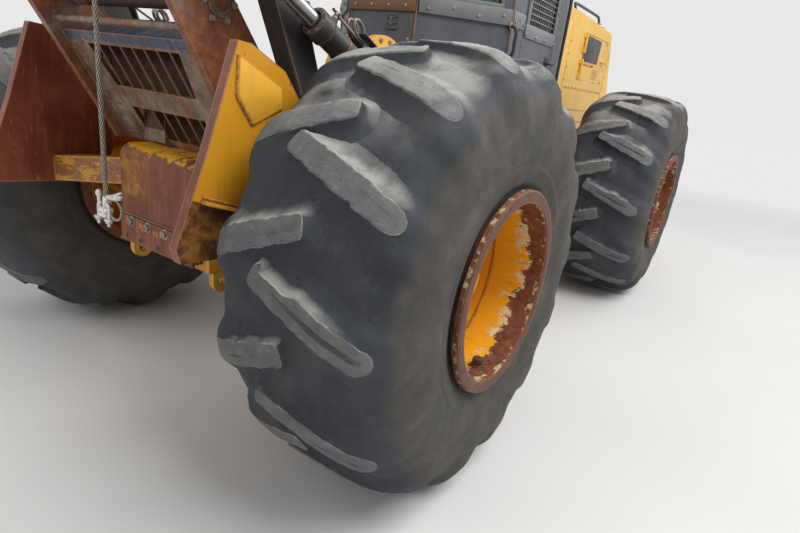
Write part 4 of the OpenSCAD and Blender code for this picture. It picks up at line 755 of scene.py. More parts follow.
def butt_mat():
    """Brown rubbed steel with ochre paint on the left and yellow on the rolled top."""
    m = Mat("butt_paint")
    _, y, z = m.xyz()
    big, mid, fine = m.noise(3.2, 5, 0.6, 0.3), m.noise(15, 6, 0.68, 0.5), m.noise(85, 5, 0.6)
    run = m.noise(8, 5, 0.6, 0.1, m.vec((2.5, 2.5, 0.35)))
    col = m.ramp(big * 0.5 + run * 0.5, (0.34, (0.105, 0.032, 0.016)), (0.5, (0.18, 0.06, 0.03)),
                 (0.66, (0.27, 0.108, 0.06)))
    scr = m.noise(30, 4, 0.6, 0, m.vec((5, 0.6, 6)))
    col = m.mix(scr.step(0.6, 0.72) * 0.4, col, (0.36, 0.19, 0.13))
    left = y.step(0.02, 0.16) * z.step(1.02, 1.05) * mid.step(0.4, 0.6)
    ochre = m.ramp(fine, (0.3, (0.26, 0.11, 0.022)), (0.6, (0.46, 0.22, 0.04)), (0.8, (0.62, 0.34, 0.07)))
    col = m.mix(left * 0.8, col, ochre)
    top = (z + (mid - 0.5) * 0.16).step(1.262, 1.272)
    lip = top * (mid + y * 0.25).step(0.4, 0.46)
    col = m.mix(lip, col, m.mix(fine.step(0.4, 0.6), (0.6, 0.27, 0.016), (0.72, 0.38, 0.02)))
    seam = z.step(0.925, 0.915) * z.step(0.865, 0.875) * m.noise(22, 5, 0.7).step(0.54, 0.6)
    col = m.mix(seam * 0.8, col, (0.48, 0.2, 0.04))
    col = m.mix(m.edge(0.01) * 0.5, col, (0.34, 0.17, 0.11))
    ro = mid.between(0.38, 0.6)
    return m.finish(col, ro, mid * 0.5 + fine * 0.3, 0.35, 0.003, spec=0.28)


def wing_mat():
    """Dark red-brown inner faces with a sheen, old paint outside, flaked paint on the struts."""
    m = Mat("wing_paint")
    x, y, z = m.xyz()
    big, mid, fine = m.noise(2.4, 5, 0.6, 0.3), m.noise(13, 6, 0.68, 0.5), m.noise(90, 5, 0.6)
    col = m.ramp(big, (0.33, (0.105, 0.022, 0.009)), (0.5, (0.16, 0.034, 0.014)), (0.68, (0.225, 0.062, 0.03)))
    run = m.noise(7, 5, 0.62, 0.2, m.vec((2.2, 2.2, 0.4)))
    col = m.mix(run.step(0.52, 0.7) * 0.45, col, (0.27, 0.105, 0.055))
    scr = m.noise(24, 4, 0.6, 0, m.vec((4, 4, 0.5), (0, 25, 0)))
    col = m.mix(scr.step(0.62, 0.72) * 0.5, col, (0.5, 0.27, 0.17))
    old = m.noise(5, 5, 0.65, 0.6).step(0.6, 0.66) * z.step(1.25, 1.0)
    col = m.mix(old * 0.55, col, (0.52, 0.24, 0.03))
    rubbed = (m.edge(0.016) + mid * 0.45).step(0.55, 0.8)
    col = m.mix(rubbed * 0.8, col, (0.4, 0.17, 0.09))
    ay = abs(y)
    old_paint = m.mix(run.step(0.5, 0.7) * 0.5, (0.6, 0.275, 0.016), (0.36, 0.15, 0.016))
    flakes = m.noise(20, 6, 0.7) * 0.7 + mid * 0.4
    outside = ay.step(0.7975, 0.799)
    out_face = outside * flakes.step(0.7, 0.66)
    col = m.mix(out_face * (1 - m.edge(0.012).step(0.15, 0.4)), col, old_paint)
    flange = z + (x - (REAR_X - 0.858)) * 0.306     # level along the slanting flange outside
    # painted shade under the outside flange, with rust: the face below it turns dark brown
    below_flange_shade_and_rust = outside * flange.step(1.256, 1.248)
    col = m.mix(below_flange_shade_and_rust, col, m.mix(mid.step(0.44, 0.6), (0.085, 0.034, 0.014), (0.26, 0.115, 0.028)))
    strut = ay.step(0.7545, 0.753) * ay.step(0.36, 0.362)
    lip = m.high(m.facing().step(0.3, 0.6), (m.edge(0.02) + mid * 0.3).step(0.45, 0.6))
    flake = m.noise(16, 6, 0.72, 0.4, m.vec((1, 0.45, 1.3)))
    bare = m.mix(fine.step(0.4, 0.62), (0.2, 0.066, 0.024), (0.33, 0.125, 0.04))
    worn = m.mix(flake.step(0.5, 0.56), bare, (0.56, 0.255, 0.022))
    worn = m.mix(lip * flake.step(0.6, 0.55), worn, (0.66, 0.33, 0.02))
    col = m.mix(strut, col, worn)
    ro = mid.between(0.24, 0.46)
    return m.finish(col, ro, big * 0.5 + (mid * 0.4 + fine * 0.12), 0.3, 0.003, coat=0.15)


def glass_mat(name, tint, rough=0.04):
    m = Mat(name)
    dirt = m.noise(4, 4, 0.55, 0.3).step(0.5, 0.8) * 0.35
    m.bsdf.inputs["Transmission Weight"].default_value = 0.9
    m.bsdf.inputs["IOR"].default_value = 1.45
    col = m.mix(dirt, tint, (0.55, 0.53, 0.47))
    ro = dirt * 0.5 + rough
    return m.finish(col, ro, None)


def chrome_mat():
    m = Mat("rod_chrome")
    fine, mid = m.noise(60, 4, 0.6, 0, m.vec((1, 1, 6))), m.noise(9, 5, 0.6)
    col = m.mix(mid.step(0.5, 0.72) * 0.45, (0.62, 0.63, 0.64), (0.3, 0.27, 0.23))
    return m.finish(col, (fine * 0.4 + mid * 0.6).between(0.12, 0.34), fine, 0.1, 0.001, metal=0.95)


def black_mat(name="boom_black", base=(0.024, 0.024, 0.026), dust=0.45, rust=0.3):
    return painted(name, base, rust=rust, edge=0.55, dust=dust, rough=0.42, grime=0.1, streak=0.35,
                   rusts=((0.07, 0.03, 0.018), (0.15, 0.065, 0.03), (0.25, 0.13, 0.07)))


def plastic(name, base, grain=220, rough=0.5):
    m = Mat(name)
    vor, mid = m.voronoi(grain), m.noise(14, 5, 0.6)
    col = m.tone(base, mid, 0.85, 1.25)
    up = m.facing().step(0.3, 0.95) * mid.step(0.4, 0.65) * 0.3
    col = m.mix(up, col, DUST)
    return m.finish(col, mid.between(rough - 0.08, rough + 0.12), vor, 0.25, 0.001)


def fabric(name, base, thread):
    m = Mat(name)
    weave = m.wave("Y", 170, 1.5) * m.wave("Z", 170, 1.5)
    mid = m.noise(10, 5, 0.6)
    col = m.mix(weave * 0.5, m.tone(base, mid, 0.8, 1.3), thread)
    col = m.mix(mid.step(0.52, 0.72) * 0.2, col, DUST)
    m.bsdf.inputs["Sheen Weight"].default_value = 0.3
    return m.finish(col, 0.9, weave, 0.5, 0.0015)


def engine_mat():
    m = Mat("engine_metal")
    big, mid, fine = m.noise(4, 5, 0.6, 0.3), m.noise(17, 6, 0.66, 0.4), m.noise(90, 5)
    col = m.ramp(big, (0.3, (0.03, 0.028, 0.024)), (0.5, (0.075, 0.068, 0.052)), (0.7, (0.16, 0.125, 0.05)))
    col = m.mix(mid.step(0.52, 0.7) * 0.5, col, (0.02, 0.016, 0.012))
    return m.finish(col, mid.between(0.35, 0.65), mid * 0.5 + fine * 0.3, 0.4, 0.003)


def lamp_mat():
    m = Mat("lamp_glass")
    rib = m.wave("Y", 55)
    mid = m.noise(12, 5)
    col = m.mix(rib * 0.4, m.tone((0.68, 0.69, 0.7), mid, 0.85, 1.1), (0.4, 0.41, 0.43))
    return m.finish(col, 0.14, rib, 0.3, 0.002, metal=0.3, coat=0.8)


def blade_mat():
    """Yellow, with the paint scrubbed off towards the cutting edge."""
    def scrubbed(m, mid, fine):
        return (m.xyz()[2] + (mid - 0.5) * 0.5).step(0.62, 0.5) * (mid + fine * 0.3).step(0.42, 0.54)
    return painted("blade_yellow", YELLOW, rust=0.6, edge=0.7, dust=0.3, rough=0.5, grime=0.5, streak=0.6,
                   where=scrubbed)


M = {
    "frame": painted("frame_yellow", YELLOW, rust=0.5, edge=0.6, dust=0.4, rough=0.46, grime=0.55, streak=0.8,
                     primer=(0.55, 0.5, 0.4)),
    "axle": painted("axle_yellow", (0.42, 0.2, 0.02), rust=0.6, edge=0.5, dust=0.5, rough=0.6, grime=0.8,
                    streak=0.6),
    "hood": painted("hood_yellow", HOOD_YELLOW, rust=0.1, edge=0.3, dust=0.25, rough=0.36, grime=0.18, streak=0.3,
                    coat=0.3),
    "wing": wing_mat(), "butt": butt_mat(), "tower": tower_mat(), "rim": rim_mat(), "chrome": chrome_mat(),
    "black": black_mat(), "guard": black_mat("guard_black", (0.022, 0.023, 0.025), 0.4, 0.2),
    "cab": painted("cab_grey", (0.06, 0.067, 0.086), rust=0.12, edge=0.25, dust=0.3, rough=0.4, grime=0.2,
                   streak=0.2, coat=0.2),
    "roof": painted("roof_grey", (0.075, 0.08, 0.094), rust=0.15, edge=0.3, dust=0.55, rough=0.45, grime=0.25,
                    streak=0.2),
    "glass": glass_mat("cab_glass", (0.42, 0.6, 0.58)),
    "pin": rusted("pin_steel", (0.13, 0.06, 0.036), (0.36, 0.3, 0.25), 0.6, 0.42, 0.25, 2.0, 0.4),
    "bolt": rusted("bolt_steel", (0.22, 0.17, 0.135), (0.5, 0.47, 0.42), 0.75, 0.36, 0.1, 6.0, 0.55),
    "engine": engine_mat(), "lamp": lamp_mat(), "console": plastic("console_plastic", (0.03, 0.031, 0.034)),
    "seat": fabric("seat_fabric", (0.022, 0.024, 0.03), (0.085, 0.088, 0.1)),
    "blade": blade_mat(), "rubber": rubber(), "seal": plastic("seal_rubber", (0.018, 0.018, 0.019), 160, 0.6),
    "hose": plastic("hose_rubber", (0.016, 0.016, 0.017), 260, 0.5),
    "weld": rusted("weld_bead", (0.16, 0.07, 0.04), (0.36, 0.26, 0.18), 0.4, 0.5, 0.1, 3.0, 0.1),
    "decal": painted("blank_decal", (0.018, 0.018, 0.02), rust=0.0, edge=0.1, dust=0.3, rough=0.3, grime=0.05,
                     streak=0.1),
    "steel": rusted("worn_steel", (0.2, 0.155, 0.13), (0.46, 0.43, 0.4), 0.7, 0.34, 0.15, 1.5, 0.45),
    "galv": M_GALV, "wire": M_WIRE,
    # a lighter copy of the frame yellow: painted light on plates that look sunlit
    "lit": painted("gusset_yellow_painted_light", (0.78, 0.4, 0.03), rust=0.25, edge=1.0, dust=0.15, rough=0.4, grime=0.2,
                   streak=0.3, primer=(0.62, 0.55, 0.36)),
    "chip": painted("chipped_yellow", YELLOW, rust=0.95, edge=0.9, dust=0.2, rough=0.55, grime=0.4, scale=3.0,
                    primer=(0.66, 0.58, 0.4)),
    "rim_weld": painted("rim_weld_amber", (0.55, 0.23, 0.02), rust=0.8, edge=0.5, dust=0.2, rough=0.5, scale=2.0),
    "knob": rusted("knob_iron", (0.05, 0.02, 0.012), (0.16, 0.075, 0.045), 0.5, 0.5, 0.1, 4.0, 0.2),
    "ring": rusted("flange_ring", (0.085, 0.028, 0.015), (0.3, 0.145, 0.085), 0.55, 0.5, 0.1, 3.0, 0.1),
    "brown": painted("sill_brown", (0.16, 0.07, 0.03), rust=0.7, edge=0.7, dust=0.2, rough=0.5, grime=0.3,
                     streak=0.6),
    "stripe": painted("blank_stripe", (0.42, 0.02, 0.018), rust=0.0, edge=0.2, dust=0.25, rough=0.4, grime=0.2),
    "glass_dark": glass_mat("gauge_glass", (0.05, 0.055, 0.06), 0.08),
    "guard_grey": painted("guard_grey", (0.135, 0.142, 0.15), rust=0.1, edge=0.35, dust=0.25, rough=0.45, grime=0.3,
                          streak=0.35),
    "mesh": painted("mesh_grey", (0.19, 0.195, 0.195), rust=0.05, edge=0.0, dust=0.15, rough=0.4, grime=0.2,
                    streak=0.1),
}
# Which look each CAD node wears
WORN_BY = {
    "frame": "rear_frame front_frame tie_lugs tow_ears side_tanks",
    "pin": "hinge_pins exhaust_stack",
    "axle": "rear_axle front_axle",
    "butt": "butt_plate",
    "wing": "wing_plates",
    "tower": "fairlead_tower winch",
    "steel": "fairlead_rollers",
    "black": "arch boom grapple_link grapple_head tong_left tong_right",
    "engine": "engine_block",
    "hood": "hood engine_door_left engine_door_right",
    "guard": "grille cab_guards air_cleaner steps",
    "cab": "cab door_left door_right",
    "glass": "cab_glass",
    "roof": "cab_roof",
    "lamp": "cab_lamps",
    "seat": "seat",
    "console": "steering_console",
    "blade": "blade",
    "wire": "winch_rope",
    "galv": "rope_fittings",
}
CAD_LOOK = {name: look for look, names in WORN_BY.items() for name in names.split()}
for name, ob in nodes.items():
    kind = "rubber" if name.startswith("tyre") else "rim" if name.startswith("rim") else \
        "chrome" if "rod" in name else "black"
    if not ob.data.materials:
        ob.data.materials.append(None)
    for i in range(len(ob.data.materials)):
        ob.data.materials[i] = M[CAD_LOOK.get(name, kind)]

for i, (end, x) in enumerate((("rear", REAR_X), ("front", FRONT_X))):
    for j, (name, s) in enumerate((("right", -1), ("left", 1))):
        add_tyre("tread_%s_%s" % (end, name), x, s, 11 + 7 * i + 3 * j, M["rubber"])


# ---------------------------------------------------------------- details
def placed(at, x, y, z):
    """The matrix that sets a shape at a point, its axes along three directions."""
    return Matrix.Translation(at) @ Matrix((x, y, z)).transposed().to_4x4()


def prism(p, pts, d, bevel=0.003, m=0):
    """A plate: a flat outline pushed along d, edges broken."""
    bm = bmesh.new()
    d = Vector(d)
    a, b = [bm.verts.new(Vector(q)) for q in pts], [bm.verts.new(Vector(q) + d) for q in pts]
    n = len(a)
    bm.faces.new(a[::-1])
    bm.faces.new(b)
    for i in range(n):
        bm.faces.new((a[i], a[(i + 1) % n], b[(i + 1) % n], b[i]))
    bmesh.ops.recalc_face_normals(bm, faces=bm.faces[:])
    if bevel:
        bmesh.ops.bevel(bm, geom=bm.edges[:], offset=bevel, segments=2, affect="EDGES", profile=0.5)
    p.bm(bm, None, m)


def side_plate(p, s, y, corners, thick, bevel, m=0):
    """A plate on the wall y mm off the middle on side s; corners: (x, z), two for a rectangle or all."""
    if len(corners) == 2:
        (x0, z0), (x1, z1) = corners
        corners = ((x0, z0), (x1, z0), (x1, z1), (x0, z1))
    prism(p, [rear(x, s * y, z) for x, z in corners], (0, s * thick, 0), bevel, m)


def hoop(p, prof, at, axis, sides=28, m=0):
    """prof: closed outline of (along the axis, radius), turned round the axis."""
    p.add(turned(prof, at, axis, sides), skin(len(prof), sides, True), m)


def circle(at, axis, r, n=36):
    """A closed path round an axis."""
    pts = turned([(0, r)], at, axis, n)
    return pts + pts[:1]


def ring(p, at, axis, r, n, size, m=0, washer=True):
    """n bolts on a circle."""
    for q in turned([(0, r)], at, axis, n):
        p.bolt(q, axis, size, washer, m)


def cylinder_bits(name, body, lines, r, length, side=(0, 0, 1), foot=True):
    """Gland, weld rings, ports, a hard pipe with clamps and a grease nipple on each cylinder of a set.

    lines: (base, rod's pin) of each; r and length: of the barrel; side: where the ports look; foot: whether the
    barrel's foot is free for a weld and a nipple.
    """
    p, w = Parts(), Parts()
    for base, pin in lines:
        base, pin = Vector(base), Vector(pin)
        d = (pin - base).normalized()
        up = (Vector(side) - d * Vector(side).dot(d)).normalized()
        out = d.cross(up)
        end = base + d * length
        hoop(p, [(-0.002, r * 0.72), (-0.002, r + 0.005), (0.004, r + 0.006), (0.012, r + 0.006), (0.016, r + 0.003),
                 (0.02, r * 0.86), (0.022, r * 0.74)], end, d, 32)
        ring(p, end + d * 0.014, d, r * 0.86, 8, 0.008, 1, False)
        hoop(p, [(-0.006, r + 0.0005), (-0.004, r + 0.008), (0.004, r + 0.008), (0.006, r + 0.0005)], end - d * 0.056,
             d, 32)
        if foot:
            w.weld(circle(base + d * (r + 0.012), d, r + 0.001, 48), 0.005)
        w.weld(circle(base + d * (length * 0.86), d, r + 0.0005, 48), 0.003)
        ports = []
        for f in (r + 0.055, length - 0.085):
            q = base + d * f + up * (r - 0.004)
            p.lathe([(0, 0.016), (0.002, 0.018), (0.02, 0.018), (0.024, 0.015), (0.024, 0.011), (0.04, 0.01)], q, up,
                    18)
            p.bolt(q + up * 0.026, up, 0.014, False, 1)
            ports.append(q + up * 0.044)
        a, b = ports
        pipe = [b, b + up * 0.01 - d * 0.004, b + up * 0.014 - d * 0.02, b + up * 0.01 - d * 0.05 + out * 0.012,
                a + up * 0.002 + d * 0.13 + out * 0.016, a + d * 0.06 + out * 0.018, a - d * 0.01 + out * 0.022,
                a - up * 0.03 - d * 0.03 + out * 0.026]
        p.tube(smooth_path(pipe, 0.02), 0.0065, 10, 2)
        for f in (0.3, 0.62):
            q = base + d * (length * f)
            hoop(p, [(-0.012, r + 0.0005), (-0.011, r + 0.003), (0.011, r + 0.003), (0.012, r + 0.0005)], q, d, 32)
            p.box((-0.018, -0.014, 0), (0.018, 0.014, 0.044), 0.004, 0,
                  placed(q + up * (r - 0.002) + out * 0.014, d, out, up))
            p.bolt(q + up * (r + 0.042) + out * 0.014, up, 0.01, True, 1)
        if foot:
            p.lathe([(0, 0.005), (0.006, 0.005), (0.008, 0.003), (0.014, 0.0042), (0.018, 0.002)],
                    base - d * (r - 0.002), -d, 12, 1)
    p.make(name + "_fittings", [M["black"], M["bolt"], M["steel"]], body, "pin_steel")
    w.make(name + "_welds", M["weld"], body, "pin_steel", 60)


def tower_edge(z):
    """The rear edge of the tower's side plates at a height, in mm behind the rear axle."""
    return -782 - TOWER_LEAN * (z - 1900)


def rear_details():
    p, w, g_yellow = Parts(), Parts(), Parts()
    # wear plate: bolts and the weld over it; then the butt plate's side edges
    for yy in (196, 53, -90, -242):
        p.bolt(rear(-534, yy, 902), (-1, 0, 0))
    for yy in (250, 130, -20, -170, -280):
        p.bolt(rear(-534, yy, 815), (-1, 0, 0), 0.016, True, 1)
    w.weld([rear(-522, -300, 931), rear(-522, 300, 931)], 0.007)
    for s in (-1, 1):
        w.weld(places(rear, (-500, s * 308, 1262), (-505, s * 312, 1000), (-505, s * 312, 810)), 0.007)
        # strut on wing and frame
        w.weld([rear(-604, s * 754, 1022), rear(-604, s * 754, 1150)], 0.008)
        w.weld([rear(-640, s * 753, 1151), rear(-480, s * 753, 1151)], 0.008)
        w.weld([rear(-420, s * 362, 1195), rear(-360, s * 362, 1195)], 0.007)
        # gusset outside each wing plate, its weld, and the flange under it, in the lighter yellow that paints light
        # on them
        g = [(-700, 1768), (-492, 1668), (-480, 1591), (-629, 1526), (-705, 1630)]
        side_plate(g_yellow, s, 799, g, 0.011, 0.003)
        w.weld([rear(a, s * 802, b) for a, b in g[3:] + g[:1]], 0.007, 1)
        side_plate(g_yellow, s, 796, ((-858, 1262), (-420, 1128), (-420, 1112), (-853, 1246)), 0.036, 0.003)
        w.weld([rear(-850, s * 802, 1270), rear(-430, s * 802, 1140)], 0.006, 1)
        side_plate(g_yellow, s, 799, ((-560, 1160), (-548, 1156), (-548, 1530), (-560, 1540)), 0.03, 0.003)
        # tower: beads where the ladder plate meets the side plates, bosses at the top
        for inset in (58, 92):
            w.weld([rear(tower_edge(z) + inset, s * 513, z) for z in (1296, 1795)])
        w.weld([rear(-388, s * 556, 1292), rear(-400, s * 556, 1292)], 0.007)
        for z in (1330, 1475, 1540, 1750):
            w.weld([rear(tower_edge(z) + 56, s * y, z) for y in (512, 380)], 0.004)
        hoop(p, [(0, 0.036), (0, 0.052), (0.006, 0.055), (0.012, 0.052), (0.012, 0.036)], rear(-590, s * 555, 1950),
             (0, s, 0), 28, 1)
        ring(p, rear(-590, s * 557, 1950), (0, s, 0), 0.07, 6, 0.012)
        # fairlead roller ends
        p.lathe([(0, 0.06), (0.003, 0.064), (0.009, 0.064), (0.012, 0.058), (0.013, 0.024), (0.014, 0.01)],
                rear(-686, s * 555, 2020), (0, s, 0), 28, 1)
        p.bolt(rear(-686, s * 568, 2020), (0, s, 0), 0.013, False)
        ring(p, rear(-686, s * 565, 2020), (0, s, 0), 0.044, 6, 0.008, 0, False)
        # pivot pin caps of the arch; beads and bolt rows along the frame
        p.lathe([(0, 0.06), (0.003, 0.062), (0.012, 0.06), (0.014, 0.04), (0.01, 0.036), (0.01, 0.01)],
                rear(0, s * 719, 1170), (0, s, 0), 32, 1)
        ring(p, rear(0, s * 722, 1170), (0, s, 0), 0.05, 4, 0.01, 0, False)
        for z in (760, 1215):
            w.weld([rear(640, s * 321, z), rear(1200, s * 321, z)], 0.007)
        for x0, x1, z in ((-420, 560, 1210), (620, 1200, 1245)):
            for k in range(6):
                p.bolt(rear(x0 + (x1 - x0) * k / 5, s * 361, z), (0, s, 0), 0.018)
    p.make("rear_bolts", [M["bolt"], M["pin"]], "rear_frame", "pin_steel")
    w.make("rear_welds", [M["weld"], M["chip"]], "rear_frame", "pin_steel", 60)
    g_yellow.make("wing_gussets", M["lit"], "rear_frame", "frame_yellow")
    # winch: rope on the drum, end covers, motor, and the big gear housing ahead of it
    d, g = Parts(), Parts()
    turns, pitch, r = 15, 23.1, 130.5       # of the rope on the drum, in mm
    angles = [2 * math.pi * i / 30 for i in range(turns * 30)]
    d.tube([rear(330 + r * math.sin(a), -172 + pitch * a / (2 * math.pi), 1470 + r * math.cos(a)) for a in angles],
           0.0108, 10)
    d.make("drum_wraps", M["wire"], "rear_frame", "rope_steel", 60)
    for s in (-1, 1):
        g.lathe([(0, 0.15), (0.003, 0.155), (0.016, 0.152), (0.02, 0.12), (0.03, 0.11), (0.034, 0.07), (0.036, 0.02)],
                rear(330, s * 354, 1470), (0, s, 0), 40)
        ring(g, rear(330, s * 370, 1470), (0, s, 0), 0.136, 12, 0.014, 1)
    g.lathe([(0, 0.06), (0.004, 0.066), (0.1, 0.066), (0.105, 0.058), (0.105, 0.045), (0.16, 0.045), (0.165, 0.038),
             (0.165, 0.01)], rear(330, 388, 1470), (0, 1, 0), 28, 2)
    prof = [(0, 0.27), (0.004, 0.288), (0.05, 0.29), (0.056, 0.284), (0.058, 0.25), (0.066, 0.246), (0.16, 0.246),
            (0.166, 0.25), (0.168, 0.284), (0.174, 0.29), (0.216, 0.29), (0.221, 0.284), (0.224, 0.235),
            (0.24, 0.215), (0.246, 0.13), (0.262, 0.12), (0.266, 0.06), (0.268, 0.01)]
    g.lathe(prof, rear(742, -150, 1706), (0, -1, 0), 72, 3)
    ring(g, rear(742, -373, 1706), (0, -1, 0), 0.262, 18, 0.013, 1)
    ring(g, rear(742, -395, 1706), (0, -1, 0), 0.17, 8, 0.012, 1)
    prism(g, places(rear, (620, -176, 1262), (870, -176, 1262), (900, -176, 1500), (560, -176, 1500)), (0, -0.17, 0),
          0.008, 3)
    g.box(rear(600, -380, 1258), rear(890, -130, 1280), 0.004, 3)
    for x in (615, 875):
        for yy in (-365, -145):
            g.bolt(rear(x, yy, 1280), (0, 0, 1), 0.02, True, 1)
    a, b = rear(420, 540, 1480), rear(700, 210, 1300)
    g.tube(smooth_path([a, a + Vector((0.06, 0, 0.02)), (a + b) / 2 + Vector((0.16, 0.02, 0)),
                        b + Vector((0.02, 0, 0.08)), b], 0.025), 0.013, 12, 4)
    for i, yy in enumerate((120, 165, 210)):
        g.tube(smooth_path(places(rear, (560, yy, 1275), (575, yy, 1330), (640, yy + 6, 1352), (800, yy + 10, 1340),
                                  (1000, yy, 1310), (1080, yy - 5, 1270)), 0.025), 0.014, 12, 4)
        for x, z in ((640, 1352), (1000, 1310)):
            g.lathe([(-0.012, 0.014), (-0.012, 0.018), (0.012, 0.018), (0.012, 0.014)], rear(x, yy + 5, z),
                    (1, 0, -0.05), 16, 1)
    g.make("winch_housing", [M["tower"], M["bolt"], M["steel"], M["lit"], M["hose"]], "rear_frame", "tower_steel")
    # axles: cover rings, drain plugs, brake pipes with their clips
    for body, f, s0 in (("rear_frame", rear, 1), ("front_frame", front, -1)):
        a, ww = Parts(), Parts()
        hoop(a, [(-0.012, 0.212), (-0.012, 0.232), (0.012, 0.232), (0.012, 0.212)], f(0, 0, 960), (1, 0, 0), 56)
        ring(a, f(s0 * 12, 0, 960), (s0, 0, 0), 0.221, 16, 0.014, 1, False)
        a.lathe([(0, 0.055), (0.01, 0.06), (0.02, 0.045), (0.03, 0.04), (0.034, 0.02)], f(0, 0, 735), (0, 0, -1), 20,
                1)
        for s in (-1, 1):
            hoop(a, [(-0.01, 0.11), (-0.01, 0.15), (0.01, 0.15), (0.01, 0.11)], f(0, s * 738, 960), (0, 1, 0), 48)
            ring(a, f(0, s * 748, 960), (0, s, 0), 0.129, 14, 0.014, 1, False)
            a.tube(smooth_path(places(f, (90, s * 150, 1120), (96, s * 260, 1082), (96, s * 400, 1070),
                                      (98, s * 600, 1070), (92, s * 720, 1075)), 0.03), 0.006, 8, 2)
            for yy in (300, 520):
                a.box(f(60, s * yy - 12, 1060), f(112, s * yy + 12, 1080), 0.003, 1)
            ww.weld(circle(f(0, s * 300, 960), (0, 1, 0), 0.113, 60))
        a.make(body.replace("frame", "axle") + "_fittings", [M["axle"], M["bolt"], M["steel"]], body, "pin_steel")
        ww.make(body.replace("frame", "axle") + "_welds", M["weld"], body, "pin_steel", 60)


def wheel_details():
    for end, x in (("rear", REAR_X), ("front", FRONT_X)):
        for name, s in (("right", -1), ("left", 1)):
            body = "wheel_%s_%s" % (end, name)
            p, w = Parts(), Parts()
            c = Vector((x, s * HALF_TRACK, AXLE_Z))
            ax = Vector((0, s, 0))
            ring(p, c + ax * 0.032, ax, 0.25, 12, 0.022)
            ring(p, c + ax * 0.185, ax, 0.086, 8, 0.012, 0, False)
            hoop(p, [(0.03, 0.186), (0.03, 0.204), (0.04, 0.204), (0.043, 0.196), (0.043, 0.186)], c, ax, 48, 1)
            p.lathe([(0.218, 0.03), (0.224, 0.03), (0.228, 0.02), (0.232, 0.019)], c, ax, 20)
            w.weld(circle(c + ax * 0.036, ax, 0.3835, 150), 0.007)
            w.weld(circle(c + ax * 0.15, ax, 0.3852, 150), 0.0035)
            # round lug inside the rim, near the bottom, and the valve
            u = Vector((0.017, 0, -0.386)).normalized()
            q = c + ax * 0.318 + u * 0.386
            p.lathe([(-0.004, 0.03), (0.0, 0.031), (0.008, 0.03), (0.01, 0.024), (0.034, 0.024), (0.04, 0.022),
                     (0.044, 0.012)], q, -u, 24, 2)
            p.box((-0.034, -0.03, -0.006), (0.034, 0.03, 0.004), 0.003, 2, placed(q, ax.cross(-u), ax, -u))
            u = Vector((math.cos(2.2), 0, math.sin(2.2)))
            p.tube(smooth_path([c + ax * 0.2 + u * 0.383, c + ax * 0.215 + u * 0.37, c + ax * 0.25 + u * 0.36,
                                c + ax * 0.27 + u * 0.358], 0.008), 0.005, 10, 3)
            # lock ring round the outer flange
            hoop(p, [(0.4105, 0.392), (0.4105, 0.437), (0.4135, 0.439), (0.416, 0.436), (0.4175, 0.424),
                     (0.416, 0.398), (0.414, 0.391)], c, ax, 96, 4)
            p.make(body + "_fittings", [M["bolt"], M["rim"], M["knob"], M["steel"], M["ring"]], body, "pin_steel")
            w.make(body + "_welds", M["rim_weld"], body, "pin_steel", 60)


def corner(s):
    """Rear end, direction along and direction out of the slanting corner wall on one side of the cab."""
    d = math.sqrt(0.5)
    return rear(1170, s * 280, 0), Vector((d, s * d, 0)), Vector((-d, s * d, 0))


def frame_loop(p, at, along, up, out, w, h, width, thick, m=0):
    """A rubber or steel frame round a window: outline w x h from at, lying on the wall."""
    for a0, b0, a1, b1 in ((0, 0, w, width), (0, h - width, w, h), (0, width, width, h - width),
                           (w - width, width, w, h - width)):
        q = [at + along * a + up * b for a, b in ((a0, b0), (a1, b0), (a1, b1), (a0, b1))]
        prism(p, q, out * thick, min(thick, width) * 0.3, m)


